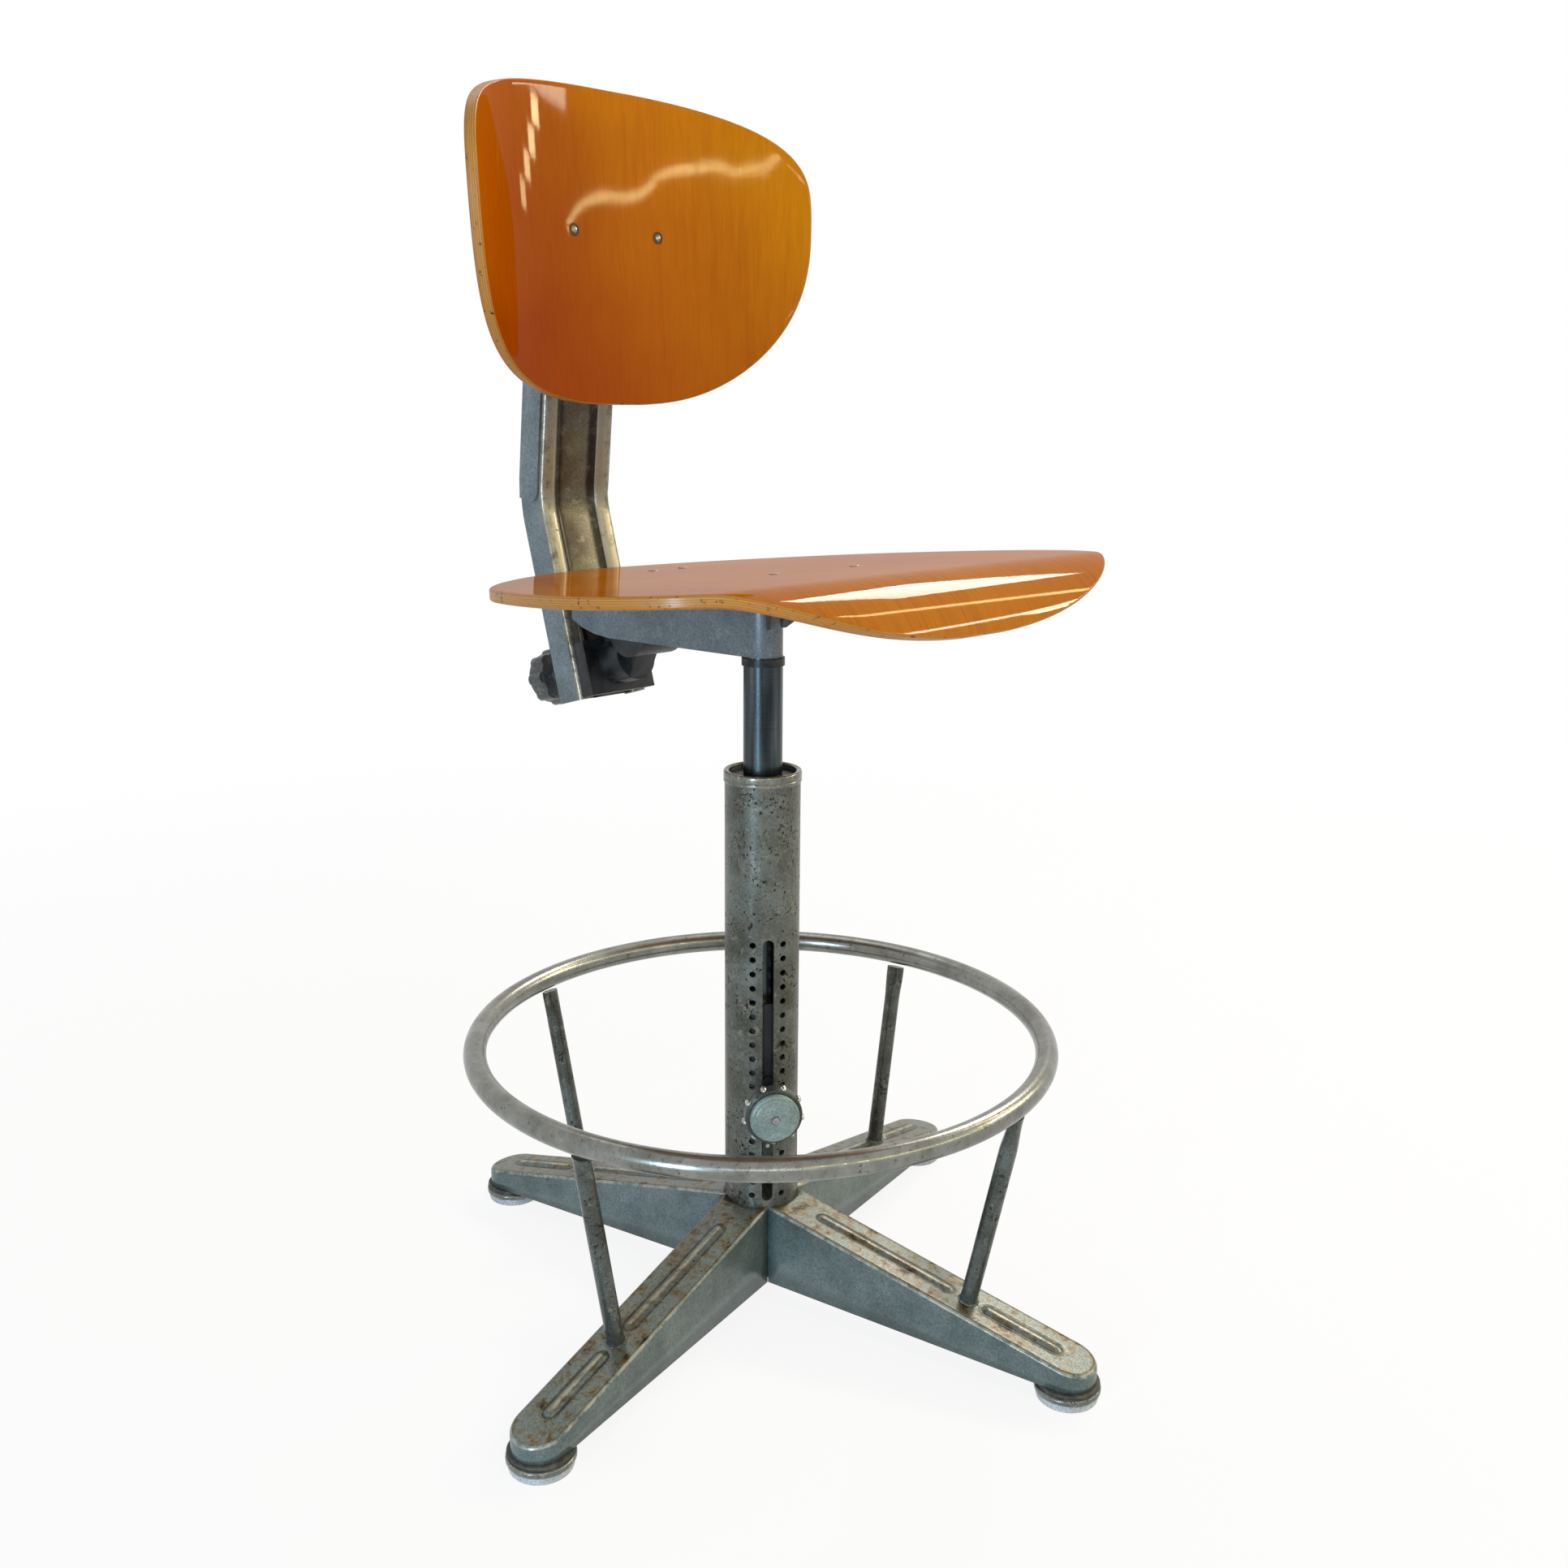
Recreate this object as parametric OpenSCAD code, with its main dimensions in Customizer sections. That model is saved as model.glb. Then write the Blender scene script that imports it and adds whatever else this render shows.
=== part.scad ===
// Drafting chair: an indexed column on four folded legs with a foot ring, a
// swivelling plywood seat, and a sprung-steel post that carries a plywood back.
// Millimetres. The origin is on the column's axis at floor level, +Z is up and
// the sitter faces -Y.

/* [Column] */
// Outside diameter of the column tube
column_d = 60; // [56:0.5:64]
// Wall of the column tube
column_wall = 2.5; // [2:0.1:3]
// Height of the column's top edge above the floor
column_top = 450; // [435:1:480]
// Height of the column's lower edge above the floor
column_bottom = 24; // [20:1:40]
// Index holes in each of the two rows
hole_count = 19; // [17:1:20]
// Distance from one index hole to the next
hole_pitch = 12; // [11.5:0.25:12.5]
// Height of the lowest pair of index holes
lowest_hole = 99; // [96:1:105]
// Diameter of an index hole
hole_d = 5; // [4.8:0.1:5.6]
// Sideways distance from the slot's middle to a row of holes
hole_offset = 12.2; // [11:0.1:13]
// Width of the guide slot
slot_w = 9; // [9:0.1:10]
// Direction in which the slot faces, measured from +X
slot_angle = -125; // [-180:1:180]
// Height of the rim band at the column's top
rim_h = 8; // [6:0.5:14]

/* [Legs] */
// Direction of the first leg, measured from +X
leg_turn = 11.5; // [0:0.5:90]
// Width of a leg
leg_w = 43; // [40:0.5:48]
// Sheet thickness of a leg
leg_wall = 2; // [1.5:0.1:3]
// Height of a leg's top face at the column
leg_top_inner = 87.5; // [75:0.5:95]
// Height of a leg's top face above its foot
leg_top_outer = 34; // [30:0.5:40]
// Height of a leg's lower edge at the column
leg_bottom_inner = 20; // [16:0.5:26]
// Distance from the column's axis to the middle of a foot
foot_radius = 279; // [240:1:310]
// Diameter of a foot cup
foot_d = 50.4; // [46:0.2:56]
// Height of the top of a foot cup's rings
foot_h = 15.6; // [13:0.1:16]

/* [Foot ring] */
// Radius of the foot ring, to the middle of its tube
ring_radius = 230.5; // [200:0.5:260]
// Diameter of the foot ring's tube
ring_tube_d = 18; // [14:0.5:22]
// Height of the middle of the foot ring's tube
ring_height = 228; // [180:1:270]
// Diameter of a strut
strut_d = 13.6; // [10:0.1:16]
// Wall of a strut
strut_wall = 1.6; // [1:0.1:2.5]
// Distance from the column's axis to a strut's lower end
strut_foot_radius = 194.5; // [150:0.5:220]

/* [Height lock] */
// Height of the clamp bolt that carries the knob
bolt_height = 183; // [171:12:195]
// Length of the guide key above the clamp bolt
key_above = 21; // [18:0.5:24]
// Length of the guide key below the clamp bolt
key_below = 48; // [40:0.5:50]
// Diameter of the clamp bolt
clamp_bolt_d = 6; // [5:0.5:6.5]
// Diameter of the height knob's rim
knob_d = 51; // [44:1:54]
// Distance from the column's axis to the front of the height knob
knob_reach = 66; // [62:0.5:72]
// Beads around the height knob
knob_beads = 9; // [6:1:12]
// How far the index studs travel into the column's holes
index_travel = 3; // [2:0.1:3.2]

/* [Spindle] */
// Diameter of the swivel spindle
spindle_d = 30.8; // [26:0.1:34]
// Height of the spindle's shoulder, where the seat bracket sits
shoulder_height = 541; // [520:1:570]

/* [Seat] */
// Height of the seat's top face on the column's axis
seat_height = 607; // [595:1:625]
// Backward slope of the seat
seat_slope = 4.3; // [0:0.1:6]
// Thickness of the seat's plywood
seat_ply = 8.5; // [7:0.5:12]
// Half of the seat's width where its two ends meet
seat_half_w = 215; // [180:1:235]
// How quickly the seat widens towards its front
seat_taper = 0.35; // [0:0.01:0.4]
// Distance from the widest line's foot to the seat's front end, along the ply
seat_front_len = 277; // [240:1:300]
// Distance from the same line to the seat's rear end
seat_rear_len = 160; // [140:1:160]
// Distance from the column's axis back to the line where the two ends meet
seat_line = 44.5; // [40:0.5:44.5]
// Distance from the column's axis to the start of the front roll
roll_start = 159; // [140:1:170]
// Radius of the front roll
roll_radius = 55; // [45:1:80]

/* [Seat bracket] */
// Sheet thickness of the seat bracket
bracket_wall = 2.2; // [1.8:0.1:3]
// Radius of the bracket's nose around the spindle's stub
nose_radius = 15.2; // [14:0.1:17]
// Half of the bracket's width at its rear end
bracket_half_w = 33; // [30:0.5:35]
// Distance from the column's axis to the bracket's rear end
bracket_rear = 194; // [180:1:196]
// Distance from the column's axis to the tilt pin
tilt_pin_y = 137; // [132:1:142]
// Height of the tilt pin
tilt_pin_z = 549; // [549:0.5:556]
// Diameter of the tilt pin
tilt_pin_d = 10; // [8:0.5:12]

/* [Back post] */
// Backward lean of the post's lower stretch
post_lean = 16; // [14:0.5:18]
// Distance from the column's axis to the post's face at the back stud
post_y = 187.5; // [187:0.5:192]
// Height of the back stud where it meets the post's face
post_z = 513; // [508:1:516]
// Width of the post
post_w = 73; // [72:1:76]
// Depth of the post's side flanges
post_depth = 29; // [26:0.5:34]
// Sheet thickness of the post
post_wall = 2; // [1.6:0.1:2.6]
// Length of the post above the back stud, up to its bend
post_lower_len = 128; // [120:1:140]
// Length of the post below the back stud
post_tail = 27.5; // [26:0.5:36]
// Angle of the bend in the post
post_bend = 22.5; // [20:0.1:24]
// Radius of the bend, to the post's face
post_bend_radius = 70; // [50:1:100]
// Length of the post above its bend
post_upper_len = 215; // [205:1:230]
// How far the post can be let down
post_travel = 30; // [10:1:30]
// Diameter of the back stud
back_stud_d = 10; // [8:0.5:12]
// Diameter of the back knob
back_knob_d = 50; // [44:1:56]

/* [Back] */
// Distance from the column's axis to the back's front face
back_y = 168; // [160:1:172]
// Height of the middle of the back
back_z = 876; // [868:1:884]
// Backward tilt of the back
back_tilt = 3.5; // [0:0.5:6]
// Thickness of the back's plywood
back_ply = 8.5; // [7:0.5:10]
// Half of the back's width
back_half_w = 168; // [140:1:190]
// Height of the back above its middle
back_above = 90.5; // [80:0.5:110]
// Height of the back below its middle
back_below = 148.5; // [120:0.5:160]
// How far the back's sides come forward
back_curl = 47; // [20:1:55]
// Half of the distance between the back's screws
back_screw_x = 43; // [42:0.5:48]
// Distance from the back's middle down to its screws
back_screw_drop = 16.5; // [12:0.5:20]
// Distance from the post's face forward to the back's pivot pin
back_pin_reach = 13; // [12.5:0.5:16]
// Height of the pivot pin above the post's bend
back_pin_rise = 195; // [190:1:200]
// Diameter of the pivot pin
back_pin_d = 8; // [6:0.5:9]

/* [Hidden] */
$fn = 64;

// clearances
fit_gap = 0.05;        // pressed or welded pieces of one body
run_gap = 0.05;        // radial clearance of a pin or spindle that turns
slide_gap = 0.3;       // pieces that slide or turn past each other
rest_gap = 0.1;        // wood lying on steel

// column
column_r = column_d / 2;
bore_r = column_r - column_wall;
top_hole = lowest_hole + hole_pitch * (hole_count - 1);
rim_wall = 0.9;
rim_lip = 1.5;
rim_inner_r = column_r - 3.4;
bush_len = 31;
bush_drop = 3;

// legs
leg_count = 4;
leg_slope_run = foot_radius - column_r;
leg_bottom_outer = foot_h + 0.4;
leg_end_r = leg_w / 2;
mitre_gap = 0.15;
bead_r = 2.6;
bead_rise = 1.3;
bead_spans = [[column_r + 32, strut_foot_radius - 18], [strut_foot_radius + 17, foot_radius - 9]];

// feet
glide_h = 6.5;
glide_r = foot_d / 2 - 1.6;
cup_boss_gap = 0.5;
cup_boss_top = 27;

// height lock
carrier_r = bore_r - slide_gap;
carrier_wall = 3;
carrier_inner_r = carrier_r - carrier_wall;
carrier_below = 56;
carrier_above = 82;
key_w = slot_w - 2 * slide_gap;
key_face = column_r + 1;
key_screw_r = 1.6;
key_screw_drops = [27, 39];
bolt_r = clamp_bolt_d / 2;
bolt_hole_r = bolt_r + 0.6;
plate_t = 2.5;
plate_half_h = 20;
plate_half_w = 16;
plate_back = index_travel + slide_gap;
stud_r = 2;
stud_tip = 23.2 + (bore_r - 27.5);
washer_t = 1.9;
washer_r = 10;
knob_back = key_face + washer_t + 0.35;
knob_rim_back = knob_reach - 18;
knob_rim_front = knob_reach - 6;
floor_z = bolt_height + 22;
floor_t = 5;
ball_r = 5;
ball_z = floor_z + floor_t + 2.5;
ball_gap = 0.2;
spindle_r = spindle_d / 2;
spindle_bottom = ball_z + 3.5;
lower_bush_z = spindle_bottom + 6;
lower_bush_top = bolt_height + carrier_above - 2;
ring_groove_z = lower_bush_z - 2.4;
ring_groove_depth = 1.8;
ring_t = 2;
stub_r = nose_radius - bracket_wall - fit_gap;
collar_h = 6;
collar_r = spindle_r + 1.4;

// seat
seat_rows = 30;
seat_cols = 6;
seat_end_angle = 87;
seat_front_power = 2.2;
seat_rear_power = 1.9;
screw_r = 2.5;
nut_r = 4.6;
nut_h = 4;
rear_screws = [16, 110];
front_screws = [43, -54];
arm_half_w = 11;
arm_web_t = 2.5;
arm_depth = 36;
arm_gap = 0.15;
web_under = seat_height - seat_ply - bracket_wall;

// tilt block, in the post's frame
boss_half_w = 22;
boss_r = 23;
stud_boss_r = 20;
stud_boss_len = 38;
stud_depth = 30;
pad_half_w = 14.5;
pad_low = -20;
pad_high = 20;
block_side = 2.5;
block_depth = 14;
block_low = -26;
panel_y = 5;
panel_half_w = 17;
ridge_run = 5;
bend_steps = 8;
post_corner = 3;
back_stud_r = back_stud_d / 2;
back_slot_r = back_stud_r + 0.5;
back_washer_r = 13;
back_washer_t = 3;
knob_hub_y = panel_y + post_wall + 2 * slide_gap + back_washer_t;
knob_grip_y = 66;
knob_grip_t = 20;
back_knob_lobes = 8;
cheek_gap = 0.2;
cheek_front = 4.5;
cheek_sheet = 1.8;
cheek_low = -16;
cheek_top = post_upper_len + 10;
ear_r = 7;
ear_low = back_pin_rise - 50;
lug_r = 8;
lug_x = 24;
lug_t = 10;
back_pin_r = back_pin_d / 2;
rivet_r = 2.5;
rivet_spots = [[22, 130], [22, 205]];
back_rows = 22;
back_cols = 14;
back_upper_power = 2.95;
back_lower_power = 2.7;
back_curl_power = 3.3;
back_curl_at = 160;
hinge_plate_t = 3;
hinge_plate_half_w = 52;
hinge_plate_half_h = 24;

// height of a leg's top face at a distance r from the axis
function leg_top(r) =
    leg_top_inner + (leg_top_outer - leg_top_inner) * (r - column_r) / leg_slope_run;
function leg_bottom(r) =
    leg_bottom_inner + (leg_bottom_outer - leg_bottom_inner) * (r - column_r) / leg_slope_run;
leg_slope = atan((leg_top_inner - leg_top_outer) / leg_slope_run);

// a point given in one turned frame, seen from another
function turned(p, a) = [p[0] * cos(a) - p[1] * sin(a), p[0] * sin(a) + p[1] * cos(a)];
tilt_pin_in_post = turned([tilt_pin_y - post_y, tilt_pin_z - post_z], post_lean);
bend_end = [
    -post_bend_radius * (1 - cos(post_bend)),
    post_lower_len + post_bend_radius * sin(post_bend)
];
upper_origin = [post_y, post_z] + turned(bend_end, -post_lean);
back_pin = upper_origin + turned([-back_pin_reach, back_pin_rise], post_bend - post_lean);
back_pin_in_back = turned(back_pin - [back_y, back_z], back_tilt);

// frames
module on_slot() { rotate([0, 0, slot_angle]) children(); }
module on_leg(i) { rotate([0, 0, leg_turn + 360 / leg_count * i]) children(); }
module in_seat() { translate([0, 0, seat_height]) rotate([-seat_slope, 0, 0]) children(); }
module in_post() { translate([0, post_y, post_z]) rotate([-post_lean, 0, 0]) children(); }
module in_upper() {
    translate([0, upper_origin[0], upper_origin[1]])
        rotate([post_bend - post_lean, 0, 0])
            children();
}
module in_back() { translate([0, back_y, back_z]) rotate([-back_tilt, 0, 0]) children(); }

// solids with their axis along X or Y, starting at a given place
module bar_x(r, x0, x1) { translate([x0, 0, 0]) rotate([0, 90, 0]) cylinder(r = r, h = x1 - x0); }
module bar_y(r, y0, y1) { translate([0, y0, 0]) rotate([-90, 0, 0]) cylinder(r = r, h = y1 - y0); }
module tube(r_out, r_in, z0, z1) {
    difference() {
        translate([0, 0, z0]) cylinder(r = r_out, h = z1 - z0);
        translate([0, 0, z0 - 1]) cylinder(r = r_in, h = z1 - z0 + 2);
    }
}
// a side view, drawn as Y and Z, given a width across X
module across_x(w) { rotate([90, 0, 90]) linear_extrude(w, center = true) children(); }

// ---- base ----

module column_tube() {
    color([0.55, 0.57, 0.56])
    difference() {
        tube(column_r, bore_r, column_bottom, column_top);
        on_slot() {
            translate([0, -slot_w / 2, lowest_hole])
                cube([column_d, slot_w, top_hole - lowest_hole]);
            for (z = [lowest_hole, top_hole])
                translate([0, 0, z]) bar_x(slot_w / 2, 0, column_d);
            for (i = [0 : hole_count - 1], side = [-1, 1])
                translate([0, side * hole_offset, lowest_hole + hole_pitch * i])
                    bar_x(hole_d / 2, 0, column_d);
        }
    }
}

module column_rim() {
    color([0.62, 0.63, 0.6]) {
        tube(column_r + rim_wall, column_r + fit_gap, column_top - rim_h, column_top + fit_gap);
        tube(column_r + rim_wall, rim_inner_r, column_top + fit_gap, column_top + rim_lip);
    }
}

module top_bush() {
    color([0.16, 0.17, 0.18])
    tube(bore_r - fit_gap, spindle_r + run_gap,
        column_top - bush_drop - bush_len, column_top - bush_drop);
}

// a leg's plan, set in by d all round
module leg_plan(d) {
    square_w = leg_w - 2 * d;
    translate([0, -square_w / 2]) square([foot_radius, square_w]);
    translate([foot_radius, 0]) circle(leg_end_r - d);
}

// a leg's side view, drawn as X and Z, with its top d lower and its bottom e lower
module leg_side(d, e) {
    r_end = foot_radius + leg_w;
    polygon([
        [0, leg_top(0) - d], [r_end, leg_top(r_end) - d],
        [r_end, leg_bottom(r_end) - e], [0, leg_bottom(0) - e]
    ]);
}

module leg_block(d, e) {
    intersection() {
        linear_extrude(2 * leg_top_inner) leg_plan(d);
        rotate([90, 0, 0]) linear_extrude(2 * leg_w, center = true) leg_side(d, e);
    }
}

module leg_bead(span) {
    length = (span[1] - span[0]) / cos(leg_slope);
    translate([span[0], 0, leg_top(span[0]) - bead_r + bead_rise])
        rotate([0, leg_slope, 0]) {
            bar_x(bead_r, 0, length);
            sphere(bead_r);
            translate([length, 0, 0]) sphere(bead_r);
        }
}

module leg(i) {
    reach = foot_radius * 2;
    color([0.5, 0.52, 0.5])
    on_leg(i)
    difference() {
        intersection() {
            union() {
                difference() {
                    leg_block(0, 0);
                    leg_block(leg_wall, leg_wall * 5);
                }
                for (span = bead_spans) leg_bead(span);
            }
            translate([mitre_gap, 0, 0])
                linear_extrude(2 * leg_top_inner)
                    polygon([[0, 0], [reach, -reach], [reach, reach]]);
        }
        cylinder(r = column_r + fit_gap, h = 2 * leg_top_inner);
    }
}

module foot_cup(i) {
    r = foot_d / 2;
    boss_r = leg_end_r - leg_wall - cup_boss_gap;
    color([0.25, 0.25, 0.24])
    on_leg(i) translate([foot_radius, 0, 0])
    rotate_extrude()
        polygon([
            [0, glide_h], [r - 0.8, glide_h], [r, glide_h + 1], [r, glide_h + 4.2],
            [r - 1.4, glide_h + 5], [r - 1.4, glide_h + 5.8], [r - 0.8, foot_h - 2.6],
            [r - 0.8, foot_h - 1], [r - 1.8, foot_h], [boss_r, foot_h],
            [boss_r, cup_boss_top - 1], [boss_r - 1, cup_boss_top], [0, cup_boss_top]
        ]);
}

module glide(i) {
    color([0.82, 0.83, 0.83])
    on_leg(i) translate([foot_radius, 0, 0])
    rotate_extrude()
        polygon([
            [0, 0], [glide_r - 2.2, 0], [glide_r - 0.6, 0.7], [glide_r, 2.2],
            [glide_r, glide_h], [0, glide_h]
        ]);
}

module ring_solid(r) {
    translate([0, 0, ring_height]) rotate_extrude() translate([ring_radius, 0]) circle(r);
}

module foot_ring() {
    color([0.68, 0.66, 0.62]) ring_solid(ring_tube_d / 2);
}

module strut(i) {
    foot_z = leg_top(strut_foot_radius);
    run = ring_radius - strut_foot_radius;
    rise = ring_height - foot_z;
    lean = atan(run / rise);
    length = sqrt(run * run + rise * rise);
    color([0.5, 0.5, 0.47])
    on_leg(i)
    difference() {
        translate([strut_foot_radius, 0, foot_z]) rotate([0, lean, 0])
            tube(strut_d / 2, strut_d / 2 - strut_wall, -strut_d, length);
        ring_solid(ring_tube_d / 2 + fit_gap);
        translate([0, 0, fit_gap])
            rotate([90, 0, 0]) linear_extrude(2 * leg_w, center = true) leg_side(0, leg_top_inner);
    }
}

// ---- height lock, drawn along +X and turned to the slot ----

module carrier_sleeve() {
    color([0.75, 0.76, 0.76])
    difference() {
        tube(carrier_r, carrier_inner_r, bolt_height - carrier_below, bolt_height + carrier_above);
        on_slot() translate([0, 0, bolt_height]) {
            bar_x(bolt_hole_r, 0, column_d);
            for (z = [-hole_pitch, hole_pitch], side = [-1, 1])
                translate([0, side * hole_offset, z]) bar_x(stud_r + slide_gap, 0, column_d);
            for (d = key_screw_drops)
                translate([0, 0, -d]) bar_x(key_screw_r + fit_gap, 0, column_d);
        }
    }
}

module guide_key() {
    low = bolt_height - key_below + key_w / 2;
    high = bolt_height + key_above - key_w / 2;
    color([0.78, 0.78, 0.76])
    on_slot()
    difference() {
        union() {
            translate([0, -key_w / 2, low]) cube([key_face, key_w, high - low]);
            for (z = [low, high]) translate([0, 0, z]) bar_x(key_w / 2, 0, key_face);
        }
        translate([0, 0, low - key_w]) cylinder(r = carrier_r + fit_gap, h = high - low + 2 * key_w);
        translate([0, 0, bolt_height]) bar_x(bolt_hole_r - slide_gap, 0, column_d);
        for (d = key_screw_drops)
            translate([0, 0, bolt_height - d]) bar_x(key_screw_r + fit_gap, 0, column_d);
    }
}

module key_screws() {
    color([0.7, 0.7, 0.68])
    on_slot() for (d = key_screw_drops)
        translate([0, 0, bolt_height - d]) {
            bar_x(key_screw_r, carrier_inner_r - 2, key_face);
            bar_x(key_screw_r * 1.9, carrier_inner_r - 4, carrier_inner_r - 1.2);
        }
}

module carrier_floor() {
    color([0.6, 0.6, 0.6])
    difference() {
        translate([0, 0, floor_z]) cylinder(r = carrier_inner_r - fit_gap, h = floor_t);
        translate([0, 0, ball_z]) sphere(ball_r + ball_gap);
    }
}

module thrust_ball() {
    color([0.85, 0.85, 0.86]) translate([0, 0, ball_z]) sphere(ball_r);
}

module lower_bush() {
    color([0.72, 0.6, 0.35])
    tube(carrier_inner_r - fit_gap, spindle_r + run_gap, lower_bush_z, lower_bush_top);
}

module knob_washer() {
    color([0.7, 0.7, 0.7])
    on_slot() translate([0, 0, bolt_height])
    difference() {
        bar_x(washer_r, key_face + fit_gap, key_face + washer_t);
        bar_x(bolt_hole_r - slide_gap, 0, column_d);
    }
}

module index_plate() {
    color([0.72, 0.72, 0.7])
    on_slot() translate([0, 0, bolt_height])
    difference() {
        union() {
            intersection() {
                translate([-plate_back, 0, 0])
                    tube(carrier_inner_r - 0.2, carrier_inner_r - 0.2 - plate_t,
                        -plate_half_h, plate_half_h);
                translate([0, -plate_half_w, -plate_half_h])
                    cube([column_d, 2 * plate_half_w, 2 * plate_half_h]);
            }
            for (z = [-hole_pitch, hole_pitch], side = [-1, 1])
                translate([0, side * hole_offset, z]) bar_x(stud_r, stud_tip - 7, stud_tip);
        }
        bar_x(bolt_r + fit_gap, 0, column_d);
    }
}

module clamp_bolt() {
    head_face = carrier_inner_r - 0.2 - plate_t - plate_back - 1.6;
    color([0.7, 0.7, 0.72])
    on_slot() translate([0, 0, bolt_height]) {
        bar_x(bolt_r, head_face - 1, knob_rim_front - index_travel - 1.2);
        bar_x(bolt_r + 3, head_face - 4, head_face);
    }
}

module knob_rim() {
    bead_circle = knob_d / 2 - 2.6;
    color([0.47, 0.52, 0.5])
    on_slot() translate([0, 0, bolt_height])
    difference() {
        union() {
            bar_x(11, knob_back, knob_rim_back + 1);
            bar_x(bead_circle, knob_rim_back, knob_rim_front);
            for (i = [0 : knob_beads - 1])
                rotate([360 / knob_beads * i, 0, 0]) translate([0, 0, bead_circle])
                    bar_x(2.6, knob_rim_back + 2, knob_rim_front - 0.6);
        }
        bar_x(bolt_r + run_gap, knob_back - 1, knob_rim_front - 0.5);
    }
}

module knob_cap() {
    cap_r = knob_d / 2 - 5;
    dome_h = knob_reach - knob_rim_front;
    color([0.5, 0.55, 0.53])
    on_slot() translate([knob_rim_front, 0, bolt_height]) rotate([0, 90, 0])
    difference() {
        rotate_extrude()
            polygon([
                [0, fit_gap], [cap_r, fit_gap], [cap_r, dome_h * 0.3], [cap_r - 1, dome_h * 0.55],
                [cap_r - 3, dome_h * 0.78], [cap_r - 8, dome_h * 0.95], [4, dome_h], [0, dome_h]
            ]);
        cylinder(r = 1.55, h = dome_h + 1);
    }
}

module knob_screw() {
    color([0.75, 0.75, 0.73])
    on_slot() translate([0, 0, bolt_height]) {
        bar_x(1.5, knob_rim_front + 0.4, knob_reach + 0.6);
        bar_x(2.7, knob_reach + fit_gap, knob_reach + 1.1);
    }
}

// ---- seat unit ----

// place of a point on the seat's top face: x sideways, t forward along the ply,
// d down through the ply
function seat_point(x, t, d) =
    let (turn = max(0, (t - roll_start) / roll_radius) * 180 / PI)
    [
        x,
        -(min(t, roll_start) + (roll_radius - d) * sin(turn)),
        -roll_radius + (roll_radius - d) * cos(turn)
    ];
function seat_len(a) = a > 0 ? seat_front_len : seat_rear_len;
function seat_power(a) = a > 0 ? seat_front_power : seat_rear_power;
function seat_run(a) = seat_len(a) * sign(a) * pow(abs(sin(a)), 2 / seat_power(a));
function seat_side(a) =
    seat_half_w * pow(cos(a), 2 / seat_power(a)) * (1 + seat_taper * seat_run(a) / 200);

// a sheet given by rows of points on its two faces, as one closed solid
module sheet_solid(face, back) {
    rows = len(face);
    cols = len(face[0]);
    points = [for (side = [face, back]) for (row = side) for (p = row) p];
    half = rows * cols;
    function at(i, j) = i * cols + j;
    quads = [for (i = [0 : rows - 2], j = [0 : cols - 2])
        [at(i, j), at(i, j + 1), at(i + 1, j + 1), at(i + 1, j)]];
    rim = concat(
        [for (j = [0 : cols - 1]) at(0, j)],
        [for (i = [1 : rows - 1]) at(i, cols - 1)],
        [for (j = [cols - 2 : -1 : 0]) at(rows - 1, j)],
        [for (i = [rows - 2 : -1 : 1]) at(i, 0)]
    );
    n = len(rim);
    faces = concat(
        [for (q = quads) each [[q[0], q[1], q[2]], [q[0], q[2], q[3]]]],
        [for (q = quads) each [[half + q[2], half + q[1], half + q[0]],
            [half + q[3], half + q[2], half + q[0]]]],
        [for (k = [0 : n - 1]) each [
            [rim[(k + 1) % n], rim[k], half + rim[k]],
            [rim[(k + 1) % n], half + rim[k], half + rim[(k + 1) % n]]
        ]]
    );
    polyhedron(points, faces);
}

function seat_face(d) = [
    for (i = [0 : seat_rows])
        let (a = -seat_end_angle + 2 * seat_end_angle * i / seat_rows)
        [for (j = [0 : seat_cols])
            seat_point(seat_side(a) * (2 * j / seat_cols - 1), seat_run(a) - seat_line, d)]
];

// children at the seat's four screws, standing on the seat's top face
module at_seat_screws() {
    for (side = [-1, 1], spot = [rear_screws, front_screws])
        translate([side * spot[0], spot[1], 0]) children();
}

module seat_shell() {
    color([0.74, 0.45, 0.12])
    in_seat()
    difference() {
        sheet_solid(seat_face(0), seat_face(seat_ply));
        at_seat_screws()
            translate([0, 0, -2 * seat_ply]) cylinder(r = screw_r + fit_gap, h = 3 * seat_ply);
    }
}

module seat_screws() {
    color([0.45, 0.4, 0.32])
    in_seat() at_seat_screws() {
        translate([0, 0, -seat_ply - bracket_wall - nut_h])
            cylinder(r = screw_r, h = seat_ply + bracket_wall + nut_h + 0.5);
        translate([0, 0, fit_gap]) cylinder(r1 = 4.5, r2 = 3.6, h = 0.9);
    }
}

module seat_nuts() {
    color([0.6, 0.6, 0.58])
    in_seat() at_seat_screws()
        translate([0, 0, -seat_ply - bracket_wall - nut_h - 0.5])
        difference() {
            cylinder(r = nut_r, h = nut_h, $fn = 6);
            translate([0, 0, -1]) cylinder(r = screw_r + fit_gap, h = nut_h + 2, $fn = 32);
        }
}

module bracket_plan(d) {
    circle(nose_radius - d);
    polygon([
        [-(nose_radius - d), 0], [nose_radius - d, 0],
        [bracket_half_w - d, bracket_rear + (d > 0 ? 1 : 0)],
        [-(bracket_half_w - d), bracket_rear + (d > 0 ? 1 : 0)]
    ]);
}

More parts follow.
